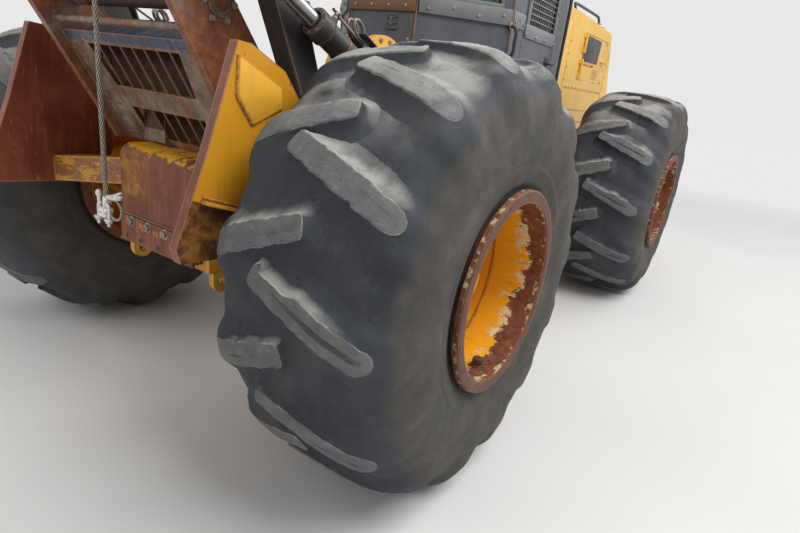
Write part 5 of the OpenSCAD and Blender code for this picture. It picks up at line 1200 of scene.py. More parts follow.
def cab_details():
    p, w, gl = Parts(), Parts(), Parts()
    for s in (-1, 1):
        o, a, n = corner(s)
        # sill strip with bolts: side and slanting corner
        for q0, q1 in ((o + a * 0.012, o + a * 0.655), (rear(1650, s * 750, 0), rear(1846, s * 750, 0))):
            nn, th = (n, 0.021) if q0.y * s < 0.7 else (Vector((0, s, 0)), 0.009)
            prism(p, [q0 + UP * 2.19, q1 + UP * 2.19, q1 + UP * 2.29, q0 + UP * 2.29], nn * th, 0.003, 5)
            k = max(2, int((q1 - q0).length / 0.17))
            for i in range(k + 1):
                p.bolt(q0.lerp(q1, (i + 0.35) / (k + 0.7)) + nn * th + UP * (2.222 + 0.026 * (i % 2)), nn, 0.012,
                       False, 1)
        # corner window guard frame and its bolts, seams
        frame_loop(p, o + a * 0.066 + n * 0.014 + UP * 2.288, a, UP, n, 0.522, 0.676, 0.026, 0.006, 5)
        for i in range(5):
            p.bolt(o + a * (0.09 + 0.115 * i) + n * 0.019 + UP * 2.955, n, 0.01, True, 1)
        w.weld([o + n * 0.002 + UP * 1.345, o + n * 0.002 + UP * 3.03])
        w.weld([o + a * 0.664 + n * 0.002 + UP * 1.345, o + a * 0.664 + n * 0.002 + UP * 3.03])
        # grab rails behind and ahead of the door
        for x, z0, z1 in ((1626, 1990, 2190), (2580, 1550, 2550)):
            bend = ((0, z0), (28.8, z0 + 6), (48, z0 + 35), (48, (z0 + z1) / 2), (48, z1 - 35), (28.8, z1 - 6),
                    (0, z1))
            p.tube(smooth_path([rear(x, s * (752 + out), z) for out, z in bend], 0.02), 0.0125, 14, 3)
            for z in (z0, z1):
                p.lathe([(0, 0.024), (0.003, 0.026), (0.007, 0.025), (0.008, 0.014)], rear(x, s * 752, z), (0, s, 0),
                        20, 1)
        # mirror on its arm
        b = rear(2692, s * 700, 2560)
        arm = [b, b + Vector((0.04, s * 0.02, 0.0)), b + Vector((0.075, s * 0.05, 0.0)),
               b + Vector((0.08, s * 0.055, 0.1)), b + Vector((0.08, s * 0.055, 0.3))]
        p.tube(smooth_path(arm, 0.015), 0.009, 12, 2)
        mt = Matrix.Translation(b + Vector((0.085, s * 0.03, 0.2))) @ Matrix.Rotation(s * 0.25, 4, "Z")
        p.box((-0.0225, -0.075, -0.13), (0.0225, 0.075, 0.13), 0.016, 3, mt, 4)
        gl.box((-0.0255, -0.064, -0.118), (-0.0205, 0.064, 0.118), 0.002, 0, mt)
    # rear wall: sill strip, louvre hoods, window frame
    prism(p, places(rear, (1170, -276, 2190), (1170, 276, 2190), (1170, 276, 2290), (1170, -276, 2290)),
          (-0.021, 0, 0), 0.003, 4)
    for i in range(4):
        p.bolt(rear(1149, -210 + 140 * i, 2226), (-1, 0, 0), 0.011, False, 1)
    frame_loop(p, rear(1156, -232, 2288), Vector((0, 1, 0)), UP, Vector((-1, 0, 0)), 0.464, 0.676, 0.03, 0.006, 2)
    for i in range(3):
        z = 2075 + 35 * i
        q = places(rear, (1170, -134, z + 20), (1170, -134, z + 13), (1157, -134, z + 1), (1155, -134, z + 4))
        prism(p, q, (0, 0.088, 0), 0.001)
    for y0 in (-252, 252):
        w.weld([rear(1168, y0, 1345), rear(1168, y0, 2185)], 0.004)
    for z in (1420, 1600, 2020):
        for y0 in (-236, 236):
            p.bolt(rear(1170, y0, z), (-1, 0, 0), 0.012, True, 1)
    # front window seal, wipers
    frame_loop(p, rear(2690, -652, 2608), Vector((0, 1, 0)), UP, Vector((1, 0, 0)), 1.304, 0.364, 0.026, 0.01, 3)
    boss = [(0, 0.018), (0.004, 0.02), (0.018, 0.016), (0.022, 0.006)]
    for s in (-1, 1):
        b = rear(2694, s * 300, 2600)
        p.lathe(boss, b, (1, 0, 0), 18, 3)
        p.tube([b + Vector((0.016, 0, 0)), b + Vector((0.018, -s * 0.06, 0.1)), b + Vector((0.008, -s * 0.14, 0.24))],
               0.004, 8, 3)
        p.tube([b + Vector((0.006, -s * 0.14, 0.09)), b + Vector((0.006, -s * 0.14, 0.33))], 0.005, 8, 3)
    p.lathe(boss, rear(1160, 0, 2330), (-1, 0, 0), 18, 3)
    # roof: raised panels, drip rail, hatch, beacon, aerial, air unit, lifting eyes
    r = Parts()
    for x0, x1, y0 in ((1760, 2280, 560), (2330, 2790, 600)):
        r.box(rear(x0, -y0, 3122), rear(x1, y0, 3146), 0.01)
    r.box(rear(1330, -200, 3122), rear(1680, 200, 3152), 0.012)
    for i in range(7):
        r.box(rear(1380 + 40 * i, -150, 3150), rear(1396 + 40 * i, 150, 3157), 0.003, 1)
    for x, y0 in ((1250, 190), (1250, -190), (2800, 690), (2800, -690)):
        r.tube([rear(x + 30 * math.cos(t), y0, 3124 + 34 * math.sin(t))
                for t in [math.pi * k / 12 for k in range(13)]], 0.007, 10, 2)
    edge = [(1125, -298), (1620, -778), (2848, -778), (2848, 778), (1620, 778), (1125, 298), (1125, -298)]
    r.tube(dense([rear(x, y, 3040) for x, y in edge], 0.05), 0.009, 8, 1, cap=False)
    for i in range(14):
        for s in (-1, 1):
            r.bolt(rear(1680 + 86 * i, s * 740, 3130), (0, 0, 1), 0.012, True, 2)
    r.lathe([(0, 0.052), (0.006, 0.056), (0.02, 0.054), (0.024, 0.046)], rear(1800, -640, 3130), (0, 0, 1), 28, 1)
    r.tube([rear(2000, 690, 3130), rear(2000, 690, 3145)], 0.012, 12, 1)
    r.make("roof_fittings", [M["roof"], M["guard"], M["bolt"]], "front_frame", "cab_grey")
    # lamps: bezels, lenses, cooling fins, bolts
    la = Parts()
    for y0 in (-560, -380, 380, 560):
        c = rear(2812, y0, 2965)
        hoop(la, [(-0.03, 0.0625), (-0.006, 0.067), (0.002, 0.067), (0.004, 0.058), (-0.001, 0.056), (-0.02, 0.06)],
             c, (1, 0, 0), 36)
        la.lathe([(-0.004, 0.057), (0.000, 0.052), (0.004, 0.034), (0.0055, 0.015), (0.006, 0.004)], c, (1, 0, 0), 32,
                 1)
        for k in range(6):
            la.box(c + Vector((-0.07, -0.064, -0.03 + 0.012 * k)), c + Vector((-0.045, 0.064, -0.026 + 0.012 * k)),
                   0.001)
        for s in (1, -1):
            la.bolt(c + Vector((-0.032, s * 0.066, 0)), (0, s, 0), 0.01, True, 2)
    la.make("lamp_bezels", [M["guard"], M["lamp"], M["bolt"]], "front_frame", "lamp")
    p.make("cab_fittings", [M["cab"], M["bolt"], M["guard"], M["seal"], M["brown"], M["guard_grey"]], "front_frame",
           "cab_grey")
    w.make("cab_welds", M["weld"], "front_frame", "pin_steel", 60)
    gl.make("mirror_glass", M["chrome"], "front_frame", "rod_chrome")
    # doors: fine mesh in its own frame, seals, handle, hinges' bolts
    for s, name in ((-1, "right"), (1, "left")):
        d = Parts()
        n = Vector((0, s, 0))
        x0, x1, z0, z1 = 1872, 2478, 2150, 2962
        for a0, b0, a1, b1 in ((x0, z0, x1, 2243), (x0, 2922, x1, z1), (x0, 2243, 1922, 2922),
                               (2428, 2243, x1, 2922)):
            side_plate(d, s, 750, ((a0, b0), (a1, b1)), 0.01, 0.002)
        for i in range(1, 13):
            d.box(rear(1922 + 39 * i - 3, s * 741 - 3, 2236), rear(1922 + 39 * i + 3, s * 741 + 3, 2928), 0.001, 1)
        for i in range(1, 18):
            d.box(rear(1915, s * 747 - 3, 2243 + 38 * i - 3), rear(2435, s * 747 + 3, 2243 + 38 * i + 3), 0.001, 1)
        for x, z in [(x, z) for x in (1890, 2080, 2270, 2460) for z in (2172, 2946)] + \
                [(x, z) for z in (2400, 2600, 2780) for x in (1890, 2460)]:
            d.bolt(rear(x, s * 760, z), n, 0.012, True, 2)
        b = rear(2400, s * 751, 2020)
        d.box(b + Vector((-0.045, -0.004, -0.05)), b + Vector((0.045, 0.006, 0.05)), 0.004, 3)
        d.tube(smooth_path([b + Vector((-0.03, 0, 0)), b + Vector((-0.03, s * 0.03, 0)),
                            b + Vector((-0.02, s * 0.04, 0)), b + Vector((0.05, s * 0.04, 0)),
                            b + Vector((0.06, s * 0.03, 0))], 0.01), 0.009, 12, 3)
        d.lathe([(0, 0.012), (0.006, 0.012), (0.008, 0.009)], b + Vector((0.028, s * 0.006, -0.028)), n, 16, 2)
        # pressed panel: a raised field in the lower half
        side_plate(d, s, 750, ((1930, 1700), (2420, 1930)), 0.004, 0.0015)
        for zc in (1850, 2750):
            for dz in (-26, 26):
                d.bolt(rear(1876, s * 752, zc + dz), n, 0.011, True, 2)
        # rubber seal between door and cab, inside the gap's line
        frame_loop(d, rear(1862, s * 706, 1652), Vector((1, 0, 0)), UP, n * -1, 0.626, 1.32, 0.02, 0.008, 3)
        d.make("door_fittings_" + name, [M["guard_grey"], M["mesh"], M["bolt"], M["seal"]], "door_" + name,
               "cab_grey")


def hood_details():
    p, e = Parts(), Parts()
    for s, name in ((-1, "right"), (1, "left")):
        n = Vector((0, s, 0))
        # blank dark plate with a stripe, on the door and ahead of it
        d = Parts()
        side_plate(d, s, 600, ((3780, 2165), (4310, 2175), (4340, 2408), (3780, 2416)), 0.0035, 0.001)
        side_plate(d, s, 603, ((3780, 2165), (3806, 2166), (3800, 2415), (3780, 2416)), 0.0012, 0.0004, 1)
        side_plate(d, s, 600, ((3800, 2128), (4200, 2134), (4204, 2158), (3800, 2152)), 0.003, 0.001, 2)
        for x in (3775, 4555):
            for z in (2010, 2405):
                d.bolt(rear(x, s * 600, z), n, 0.01, True, 3)
        b = rear(4500, s * 601, 2210)
        d.box(b + Vector((-0.075, -0.003, -0.022)), b + Vector((0.045, 0.005, 0.022)), 0.003, 5)
        d.tube(smooth_path([b + Vector((-0.06, 0, 0)), b + Vector((-0.055, s * 0.03, 0)),
                            b + Vector((-0.01, s * 0.038, 0.002)), b + Vector((0.045, s * 0.034, 0)),
                            b + Vector((0.055, s * 0.02, 0))], 0.008), 0.009, 12, 2)
        for i in range(6):
            z = 2020 + 17 * i
            prism(d, places(rear, (4180, s * 600, z), (4400, s * 600, z), (4396, s * 606, z + 9),
                            (4184, s * 606, z + 9)), (0, 0, 0.003), 0.0008, 5)
        d.make("engine_door_fittings_" + name, [M["decal"], M["stripe"], M["lit"], M["bolt"], M["seal"], M["hood"]],
               "engine_door_" + name, "hood_yellow")
        # panel seams and rivets along the hood's side
        for x in (3330, 4690):
            side_plate(p, s, 600, ((x, 1450), (x + 26, 2440 if x < 4000 else 2360)), 0.004, 0.001)
            for i in range(8):
                p.bolt(rear(x + 13, s * 604, 1500 + 115 * i), n, 0.009, False, 1)
        side_plate(p, s, 600, ((3356, 1890), (4690, 1916)), 0.004, 0.001)
        for i in range(12):
            p.bolt(rear(3420 + 110 * i, s * 604, 1903), n, 0.009, False, 1)
        for i in range(9):
            for z in (1560, 1680):
                prism(p, [rear(x + 110 * i, s * y, z + dz) for x, y,
                          dz in ((3560, 600, 0), (3650, 600, 0), (3645, 609, 14), (3565, 609, 14))], (0, 0, 0.004),
                      0.001)
        p.tube(smooth_path(places(rear, (3420, s * 560, 2572), (3420, s * 545, 2625), (3500, s * 540, 2640),
                                  (4150, s * 540, 2640), (4230, s * 545, 2625), (4230, s * 560, 2572)), 0.03), 0.013,
               12, 2)
        for x in (3420, 4230):
            p.lathe([(0, 0.028), (0.004, 0.03), (0.008, 0.028), (0.009, 0.014)], rear(x, s * 560, 2569), UP, 20, 1)
        for x in (2900, 4400):
            p.tube([rear(x + 26 * math.cos(t), s * 420, 2568 + 30 * math.sin(t))
                    for t in [math.pi * k / 10 for k in range(11)]], 0.008, 10, 1)
    # radiator cap, fuel cap, seams on the top
    for x, y0, q in ((4550, -200, 0.055), (3150, 330, 0.045)):
        p.lathe([(0, q), (0.004, q + 0.003), (0.012, q + 0.003), (0.014, q - 0.01), (0.03, q - 0.008),
                 (0.036, q - 0.016), (0.036, 0.01)], rear(x, y0, 2569), UP, 32, 2)
    for x in (3330, 4480):
        p.box(rear(x, -560, 2568), rear(x + 24, 560, 2575), 0.002)
        for i in range(9):
            p.bolt(rear(x + 12, -520 + 130 * i, 2574), UP, 0.009, False, 1)
    # exhaust: heat shield with slots, clamp, cut-back tip; air cleaner: bands and cap
    c = front(-350, -330, 0)
    hoop(e, [(2.64, 0.082), (2.64, 0.086), (2.9, 0.086), (2.9, 0.082)], c, UP, 40)
    for k in range(12):
        a = 2 * math.pi * k / 12
        u = Vector((math.cos(a), math.sin(a), 0))
        for z in (2.69, 2.78, 2.85):
            e.box((-0.006, -0.004, -0.028), (0.006, 0.004, 0.028), 0.002, 1,
                  Matrix.Translation(c + u * 0.0865 + UP * z) @ Matrix.Rotation(a + math.pi / 2, 4, "Z"))
    for z in (2.585, 2.945):
        hoop(e, [(z, 0.074), (z, 0.082), (z + 0.022, 0.082), (z + 0.022, 0.074)], c, UP, 36, 2)
        e.bolt(c + Vector((0.088, 0, z + 0.011)), (1, 0, 0), 0.01, True, 2)
    hoop(e, [(3.000, 0.044), (3.000, 0.049), (3.018, 0.049), (3.018, 0.044)], c, UP, 28, 2)
    e.weld(circle(c + UP * 2.972, UP, 0.047, 40), 0.004, 2)
    flap = ((-0.052, -0.02, 3.121), (-0.052, 0.02, 3.121), (0.055, 0.045, 3.128), (0.055, -0.045, 3.128))
    prism(e, [c + Vector(v) for v in flap], (0, 0, 0.003), 0.001, 2)
    c = front(-350, 330, 0)
    for z in (2.6, 2.72):
        hoop(e, [(z, 0.069), (z, 0.076), (z + 0.016, 0.076), (z + 0.016, 0.069)], c, UP, 36, 2)
        e.bolt(c + Vector((0.0, 0.08, z + 0.008)), (0, 1, 0), 0.01, True, 2)
    for k in range(20):
        a = 2 * math.pi * k / 20
        u = Vector((math.cos(a), math.sin(a), 0))
        e.box((-0.01, -0.004, -0.032), (0.01, 0.004, 0.032), 0.002, 3,
              Matrix.Translation(c + u * 0.131 + UP * 2.845) @ Matrix.Rotation(a + math.pi / 2, 4, "Z"))
    e.lathe([(2.899, 0.124), (2.904, 0.128), (2.912, 0.11), (2.918, 0.04), (2.922, 0.036), (2.934, 0.03),
             (2.936, 0.01)], c, UP, 36, 3)
    e.make("stack_fittings", [M["pin"], M["guard"], M["steel"], M["guard"]], "front_frame", "pin_steel")
    # nose: lamps in the grille
    g = Parts()
    for s in (-1, 1):
        c = front(1178, s * 470, 2160)
        g.box(c + Vector((-0.05, -0.085, -0.065)), c + Vector((0.012, 0.085, 0.065)), 0.012)
        g.lathe([(0, 0.054), (0.004, 0.05), (0.01, 0.03), (0.012, 0.006)], c + Vector((0.012, 0, 0)), (1, 0, 0), 32,
                1)
        hoop(g, [(0.01, 0.052), (0.01, 0.06), (0.02, 0.058), (0.02, 0.052)], c, (1, 0, 0), 32)
    g.make("nose_lamps", [M["guard"], M["lamp"]], "front_frame", "lamp")
    p.make("hood_fittings", [M["hood"], M["bolt"], M["guard"]], "front_frame", "hood_yellow")
    # engine: covers, manifold, pipes and pulleys, seen when a door stands open
    q = Parts()
    for i in range(3):
        q.box(front(-330 + 300 * i, -150, 2240), front(-60 + 300 * i, 150, 2330), 0.022)
        for s in (-1, 1):
            for k in range(3):
                q.bolt(front(-300 + 300 * i + 105 * k, s * 120, 2330), UP, 0.012, True, 2)
    for s in (-1, 1):
        q.tube(smooth_path(places(front, (-380, s * 315, 2120), (-200, s * 335, 2130), (200, s * 335, 2130),
                                  (520, s * 320, 2110)), 0.03), 0.044, 20, 1)
        for i in range(6):
            x = -300 + 150 * i
            q.tube(smooth_path(places(front, (x, s * 285, 2190), (x, s * 318, 2180), (x + 8, s * 334, 2140)), 0.01),
                   0.022, 14, 1)
            hoop(q, [(0, 0.022), (0, 0.036), (0.01, 0.036), (0.01, 0.022)], front(x, s * 298, 2188), (0, s, -0.2), 24)
            q.tube(smooth_path(places(front, (x + 60, s * 300, 1900), (x + 62, s * 322, 1960),
                                      (x + 50, s * 324, 2060), (x + 40, s * 300, 2200)), 0.02), 0.005, 8, 2)
        for x, m in ((-120, 3), (40, 0)):
            q.lathe([(0, 0.05), (0.006, 0.056), (0.16, 0.056), (0.168, 0.046), (0.17, 0.02)], front(x, s * 350, 1680),
                    UP, 28, m)
        q.box(front(-180, s * 300 - 12, 1840), front(110, s * 350 + 20, 1872), 0.008)
        for i in range(12):
            for z in (1450, 1760):
                q.bolt(front(-390 + 88 * i, s * 301, z), (0, s, 0), 0.014, True, 2)
        q.box(front(-410, s * 300 - 8, 1430), front(610, s * 300 + 8, 1446))
        q.tube(smooth_path(places(front, (300, s * 310, 1600), (360, s * 360, 1580), (520, s * 380, 1560),
                                  (640, s * 330, 1700), (660, s * 280, 1900)), 0.03), 0.026, 14, 4)
    for z, r0 in ((1520, 0.1), (1760, 0.07), (2010, 0.085)):
        q.lathe([(0, r0 * 0.9), (0.004, r0), (0.01, r0), (0.014, r0 * 0.86), (0.034, r0 * 0.86), (0.038, r0),
                 (0.044, r0), (0.048, r0 * 0.9), (0.05, 0.03)], front(622, 0, z), (1, 0, 0), 40, 2)
    q.make("engine_dress", [M["engine"], M["pin"], M["steel"], M["decal"], M["hose"]], "front_frame", "engine")


def front_details():
    p, w = Parts(), Parts()
    for s in (-1, 1):
        n = Vector((0, s, 0))
        for i in range(3):
            z = 570 + 260 * i
            for k in range(11):
                for j in (0, 1):
                    y0, y1 = sorted((s * (814 + 84 * j), s * (880 + 84 * j)))
                    p.box(rear(1982 + 42 * k, y0, z), rear(1988 + 42 * k, y1, z + 9), 0.0015)
            p.box(rear(1950, min(s * 985, s * 993), z - 24), rear(2440, max(s * 985, s * 993), z + 8), 0.002, 1)
            for x in (1951, 2439):
                w.weld([rear(x, s * y, z - 31) for y in (852, 878)], 0.004)
        # tanks: straps, cap
        for x in (2530, 2630):
            p.box(rear(x, min(s * 588, s * 594), 862), rear(x + 26, max(s * 588, s * 594), 1262), 0.002, 1)
            for z in (900, 1220):
                p.bolt(rear(x + 13, s * 594, z), n, 0.012, True, 2)
        p.lathe([(0, 0.045), (0.004, 0.05), (0.026, 0.05), (0.03, 0.044), (0.03, 0.01)], rear(2585, s * 480, 1260),
                UP, 32, 1)
        w.weld([rear(2489, s * 400, 1261), rear(2489, s * 588, 1261)], 0.005)
        # frame: beads and bolts at the hinge, nose and blade pivots
        for z in (760, 1215):
            w.weld([front(-1200, s * 321, z), front(-620, s * 321, z)], 0.007)
        for k in range(6):
            p.bolt(front(-1080 + 160 * k, s * 361, 1215), n, 0.018, True, 2)
        p.lathe([(0, 0.05), (0.004, 0.056), (0.014, 0.056), (0.018, 0.048), (0.018, 0.01)], front(520, s * 462, 800),
                n, 32, 3)
        ring(p, front(520, s * 478, 800), n, 0.036, 4, 0.01, 2, False)
        for x in (-700, 700):
            for dx in (18, 62):
                p.bolt(front(x + dx, s * 300, 1440), UP, 0.014, True, 2)
    for x, y, z in ((1041, 395, 1398), (1041, 350, 905), (1042, 88, 828), (1042, 88, 857), (1042, 88, 918),
                    (1042, 88, 947)):
        w.weld([front(x, -y, z), front(x, y, z)])
    p.make("front_fittings", [M["guard"], M["frame"], M["bolt"], M["pin"]], "front_frame", "pin_steel")
    w.make("front_welds", M["weld"], "front_frame", "pin_steel", 60)
    # hinge pins: bolts and a nipple on top
    h = Parts()
    for z in (1.262, 0.872):
        c = Vector((HINGE_X, 0, z))
        ring(h, c, UP, 0.044, 4, 0.014)
        h.lathe([(0, 0.009), (0.006, 0.009), (0.009, 0.005), (0.016, 0.007), (0.02, 0.003)], c, UP, 14)
    h.make("hinge_pin_bolts", M["bolt"], "rear_frame", "pin_steel")
    # blade: bolted edge, end bits, ribs behind, welds at the arms
    b, bw = Parts(), Parts()
    cx, cz, r = 2296.9, 500, 700    # centre and radius of the mouldboard's curve

    def face(z, off):
        """How far forward the blade's curve lies at a height, off mm behind its face."""
        t = (z - cz) / (r + off)
        return min(1778, cx - (r + off) * math.cos(math.asin(max(-1, min(1, t)))))
    for y0, y1 in ((-1440, -965), (-955, -325), (-315, 315), (325, 955), (965, 1440)):
        pts = [(face(z, -26.0), z) for z in (66, 110, 160, 208)] + [(face(z, -46.0), z) for z in (206, 160, 110, 66)]
        prism(b, [front(x, y0, z) for x, z in pts], (0, (y1 - y0) / 1000, 0))
        bolts = max(2, int((y1 - y0) / 150))
        for i in range(bolts):
            yy = y0 + (y1 - y0) * (i + 0.5) / bolts
            b.lathe([(0, 0.016), (0.004, 0.015), (0.007, 0.01), (0.008, 0.003)], front(face(172, -45.0), yy, 172),
                    (1, 0, 0.2), 18, 1)
            b.bolt(front(face(172, 1.0), yy, 172), (-1, 0, -0.2), 0.02, True, 1)
    for yy in (-1180, -800, 0, 800, 1180):
        up = range(230, 831, 100)
        pts = [(face(z, 0.0) + 4, z) for z in up] + [(face(z, 0.0) - 34, z) for z in up[::-1]]
        prism(b, [front(x, yy - 8, z) for x, z in pts], (0, 0.016, 0), 0.002, 2)
        for s in (-1, 1):
            bw.weld([front(face(z, 0.0) - 1, yy + s * 10, z) for z in (232, 330, 430, 530, 630, 730, 828)], 0.005)
    for s in (-1, 1):
        for yy in (398, 457):
            bw.weld([front(1606, s * yy, 560), front(1604, s * yy, 460)])
            bw.weld([front(1660, s * yy, 792), front(1618, s * yy, 600)])
        hoop(b, [(0, 0.07), (0, 0.092), (0.008, 0.094), (0.01, 0.088), (0.01, 0.07)], front(520, s * 455, 800),
             (0, s, 0), 40, 2)
    b.make("blade_fittings", [M["steel"], M["bolt"], M["blade"]], "blade", "blade_yellow")
    bw.make("blade_welds", M["weld"], "blade", "pin_steel", 60)


def cushion(name, centre, half, turn, crown):
    """A crowned pad with sewn channels and a piped edge, turned about Y."""
    n = 34
    verts, faces = [], []
    for side in (1, -1):
        for i in range(n + 1):
            for j in range(n + 1):
                u, v = -1 + 2 * i / n, -1 + 2 * j / n
                t = ((1 - abs(u) ** 6) * (1 - abs(v) ** 6)) ** 0.42
                z = side * half[2] * (0.3 + 0.7 * t) + 0.0015 * math.sin(9 * u + 5 * v) * t
                if side > 0:
                    z += crown * (1 - u * u) * (1 - v * v) - 0.006 * math.exp(-((u - 0.1) / 0.026) ** 2) * t
                    z -= 0.01 * t * sum(math.exp(-((v - q) / 0.03) ** 2) for q in (-0.42, 0.42))
                ru, rv = (math.copysign(abs(c) ** 0.92, c) for c in (u, v))
                verts.append((ru * half[0] * (0.97 + 0.03 * t), rv * half[1] * (0.97 + 0.03 * t), z))
    m = (n + 1) * (n + 1)
    for k in (0, 1):
        for i in range(n):
            for j in range(n):
                q = [k * m + a * (n + 1) + b for a, b in ((i, j), (i + 1, j), (i + 1, j + 1), (i, j + 1))]
                faces.append(q if k == 0 else q[::-1])
    edge = [i * (n + 1) for i in range(n)] + [n * (n + 1) + j for j in range(n)]
    edge += [i * (n + 1) + n for i in range(n, 0, -1)] + list(range(n, 0, -1))
    faces += [(a, a + m, b + m, b) for a, b in zip(edge, edge[1:] + edge[:1])]
    mt = Matrix.Translation(centre) @ Matrix.Rotation(turn, 4, "Y")
    o = Parts()
    o.add([mt @ Vector(v) for v in verts], faces)
    piping = []
    for k in range(91):
        x, y = (math.copysign(abs(c) ** 0.32, c) * 0.985
                for c in (math.cos(math.pi * k / 45), math.sin(math.pi * k / 45)))
        piping.append(mt @ Vector((x * half[0], y * half[1], half[2] * 0.26)))
    o.tube(piping, 0.0055, 8, 1, cap=False)
    ob = o.make(name, [M["seat"], M["seal"]], "front_frame", "seat_black", 60)
    return ob


def inside_details():
    c = Parts()
    # seat: cushions, base with its bellows, armrests and lever
    pads = [cushion("seat_cushion", rear(1915, 0, 1695), (0.253, 0.258, 0.062), 0.0, 0.022),
            cushion("seat_back", rear(1672, 0, 2045), (0.298, 0.248, 0.06), math.radians(-96), 0.02)]
    b = Parts()
    b.box(rear(1700, -240, 1372), rear(2150, 240, 1430), 0.01)
    for k in range(7):
        z, g = 1430 + 26 * k, (20 if k % 2 else 0)
        b.box(rear(1720 + g, -215 + g, z), rear(2130 - g, 215 - g, z + 27), 0.006, 1)
    b.box(rear(1690, -235, 1610), rear(2160, 235, 1640), 0.008)
    b.box(rear(1590, -225, 1700), rear(1640, 225, 2300), 0.014)
    for s in (-1, 1):
        b.box(rear(1740, s * 262 - 26, 1880), rear(2060, s * 262 + 26, 1915), 0.014, 1)
        b.tube(smooth_path(places(rear, (1660, s * 250, 1760), (1680, s * 262, 1850), (1760, s * 262, 1880)), 0.02),
               0.014)
        b.tube(smooth_path(places(rear, (2030, s * 262, 1912), (2036, s * 262, 1960), (2030, s * 262, 2010)), 0.01),
               0.01, 12, 1)
        b.lathe([(0, 0.014), (0.012, 0.024), (0.034, 0.026), (0.052, 0.018), (0.058, 0.006)],
                rear(2030, s * 262, 2000), UP, 20, 1)
    ob = b.make("seat_base", [M["guard"], M["seal"]], "front_frame", "seat_black")
    for piece in pads + [ob]:
        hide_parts("seat")
    # console: gauges (blank), switches, levers, pedals, floor mat
    for i in range(3):
        q = rear(2470, -120 + 120 * i, 2142)
        n = Vector((-0.42, 0, 0.9)).normalized()
        hoop(c, [(0, 0.03), (0, 0.04), (0.008, 0.04), (0.01, 0.032)], q + n * 0.02, n)
        c.lathe([(0, 0.032), (0.003, 0.03), (0.004, 0.004)], q + n * 0.021, n, 28, 1)
    for i in range(8):
        q = rear(2560, -175 + 50 * i, 2186)
        c.box(q + Vector((-0.012, -0.014, 0)), q + Vector((0.012, 0.014, 0.018)))
    for s in (-1, 1):
        c.box(rear(2330, s * 150 - 45, 1420), rear(2350, s * 150 + 45, 1540), 0.006)
        c.tube(places(rear, (2345, s * 150, 1480), (2395, s * 150, 1450), (2402, s * 150, 1375)), 0.01, 10, 2)
        for k in range(5):
            c.box(rear(2324, s * 150 - 38, 1432 + 22 * k), rear(2332, s * 150 + 38, 1440 + 22 * k), 0.002, 3)
    hub = rear(2420, 0, 2190)
    ax = Vector((-math.sin(math.radians(35)), 0, math.cos(math.radians(35))))
    c.lathe([(0.01, 0.044), (0.018, 0.046), (0.026, 0.036), (0.03, 0.015)], hub, ax, 32, 3)
    c.box(rear(1720, -640, 1369), rear(2380, 640, 1377), 0.003, 3)
    for k in range(14):
        c.box(rear(2170 + 14 * k, -600, 1376), rear(2176 + 14 * k, 600, 1381), 0.0015, 3)
    c.make("console_fittings", [M["console"], M["glass_dark"], M["steel"], M["seal"]], "front_frame", "console")


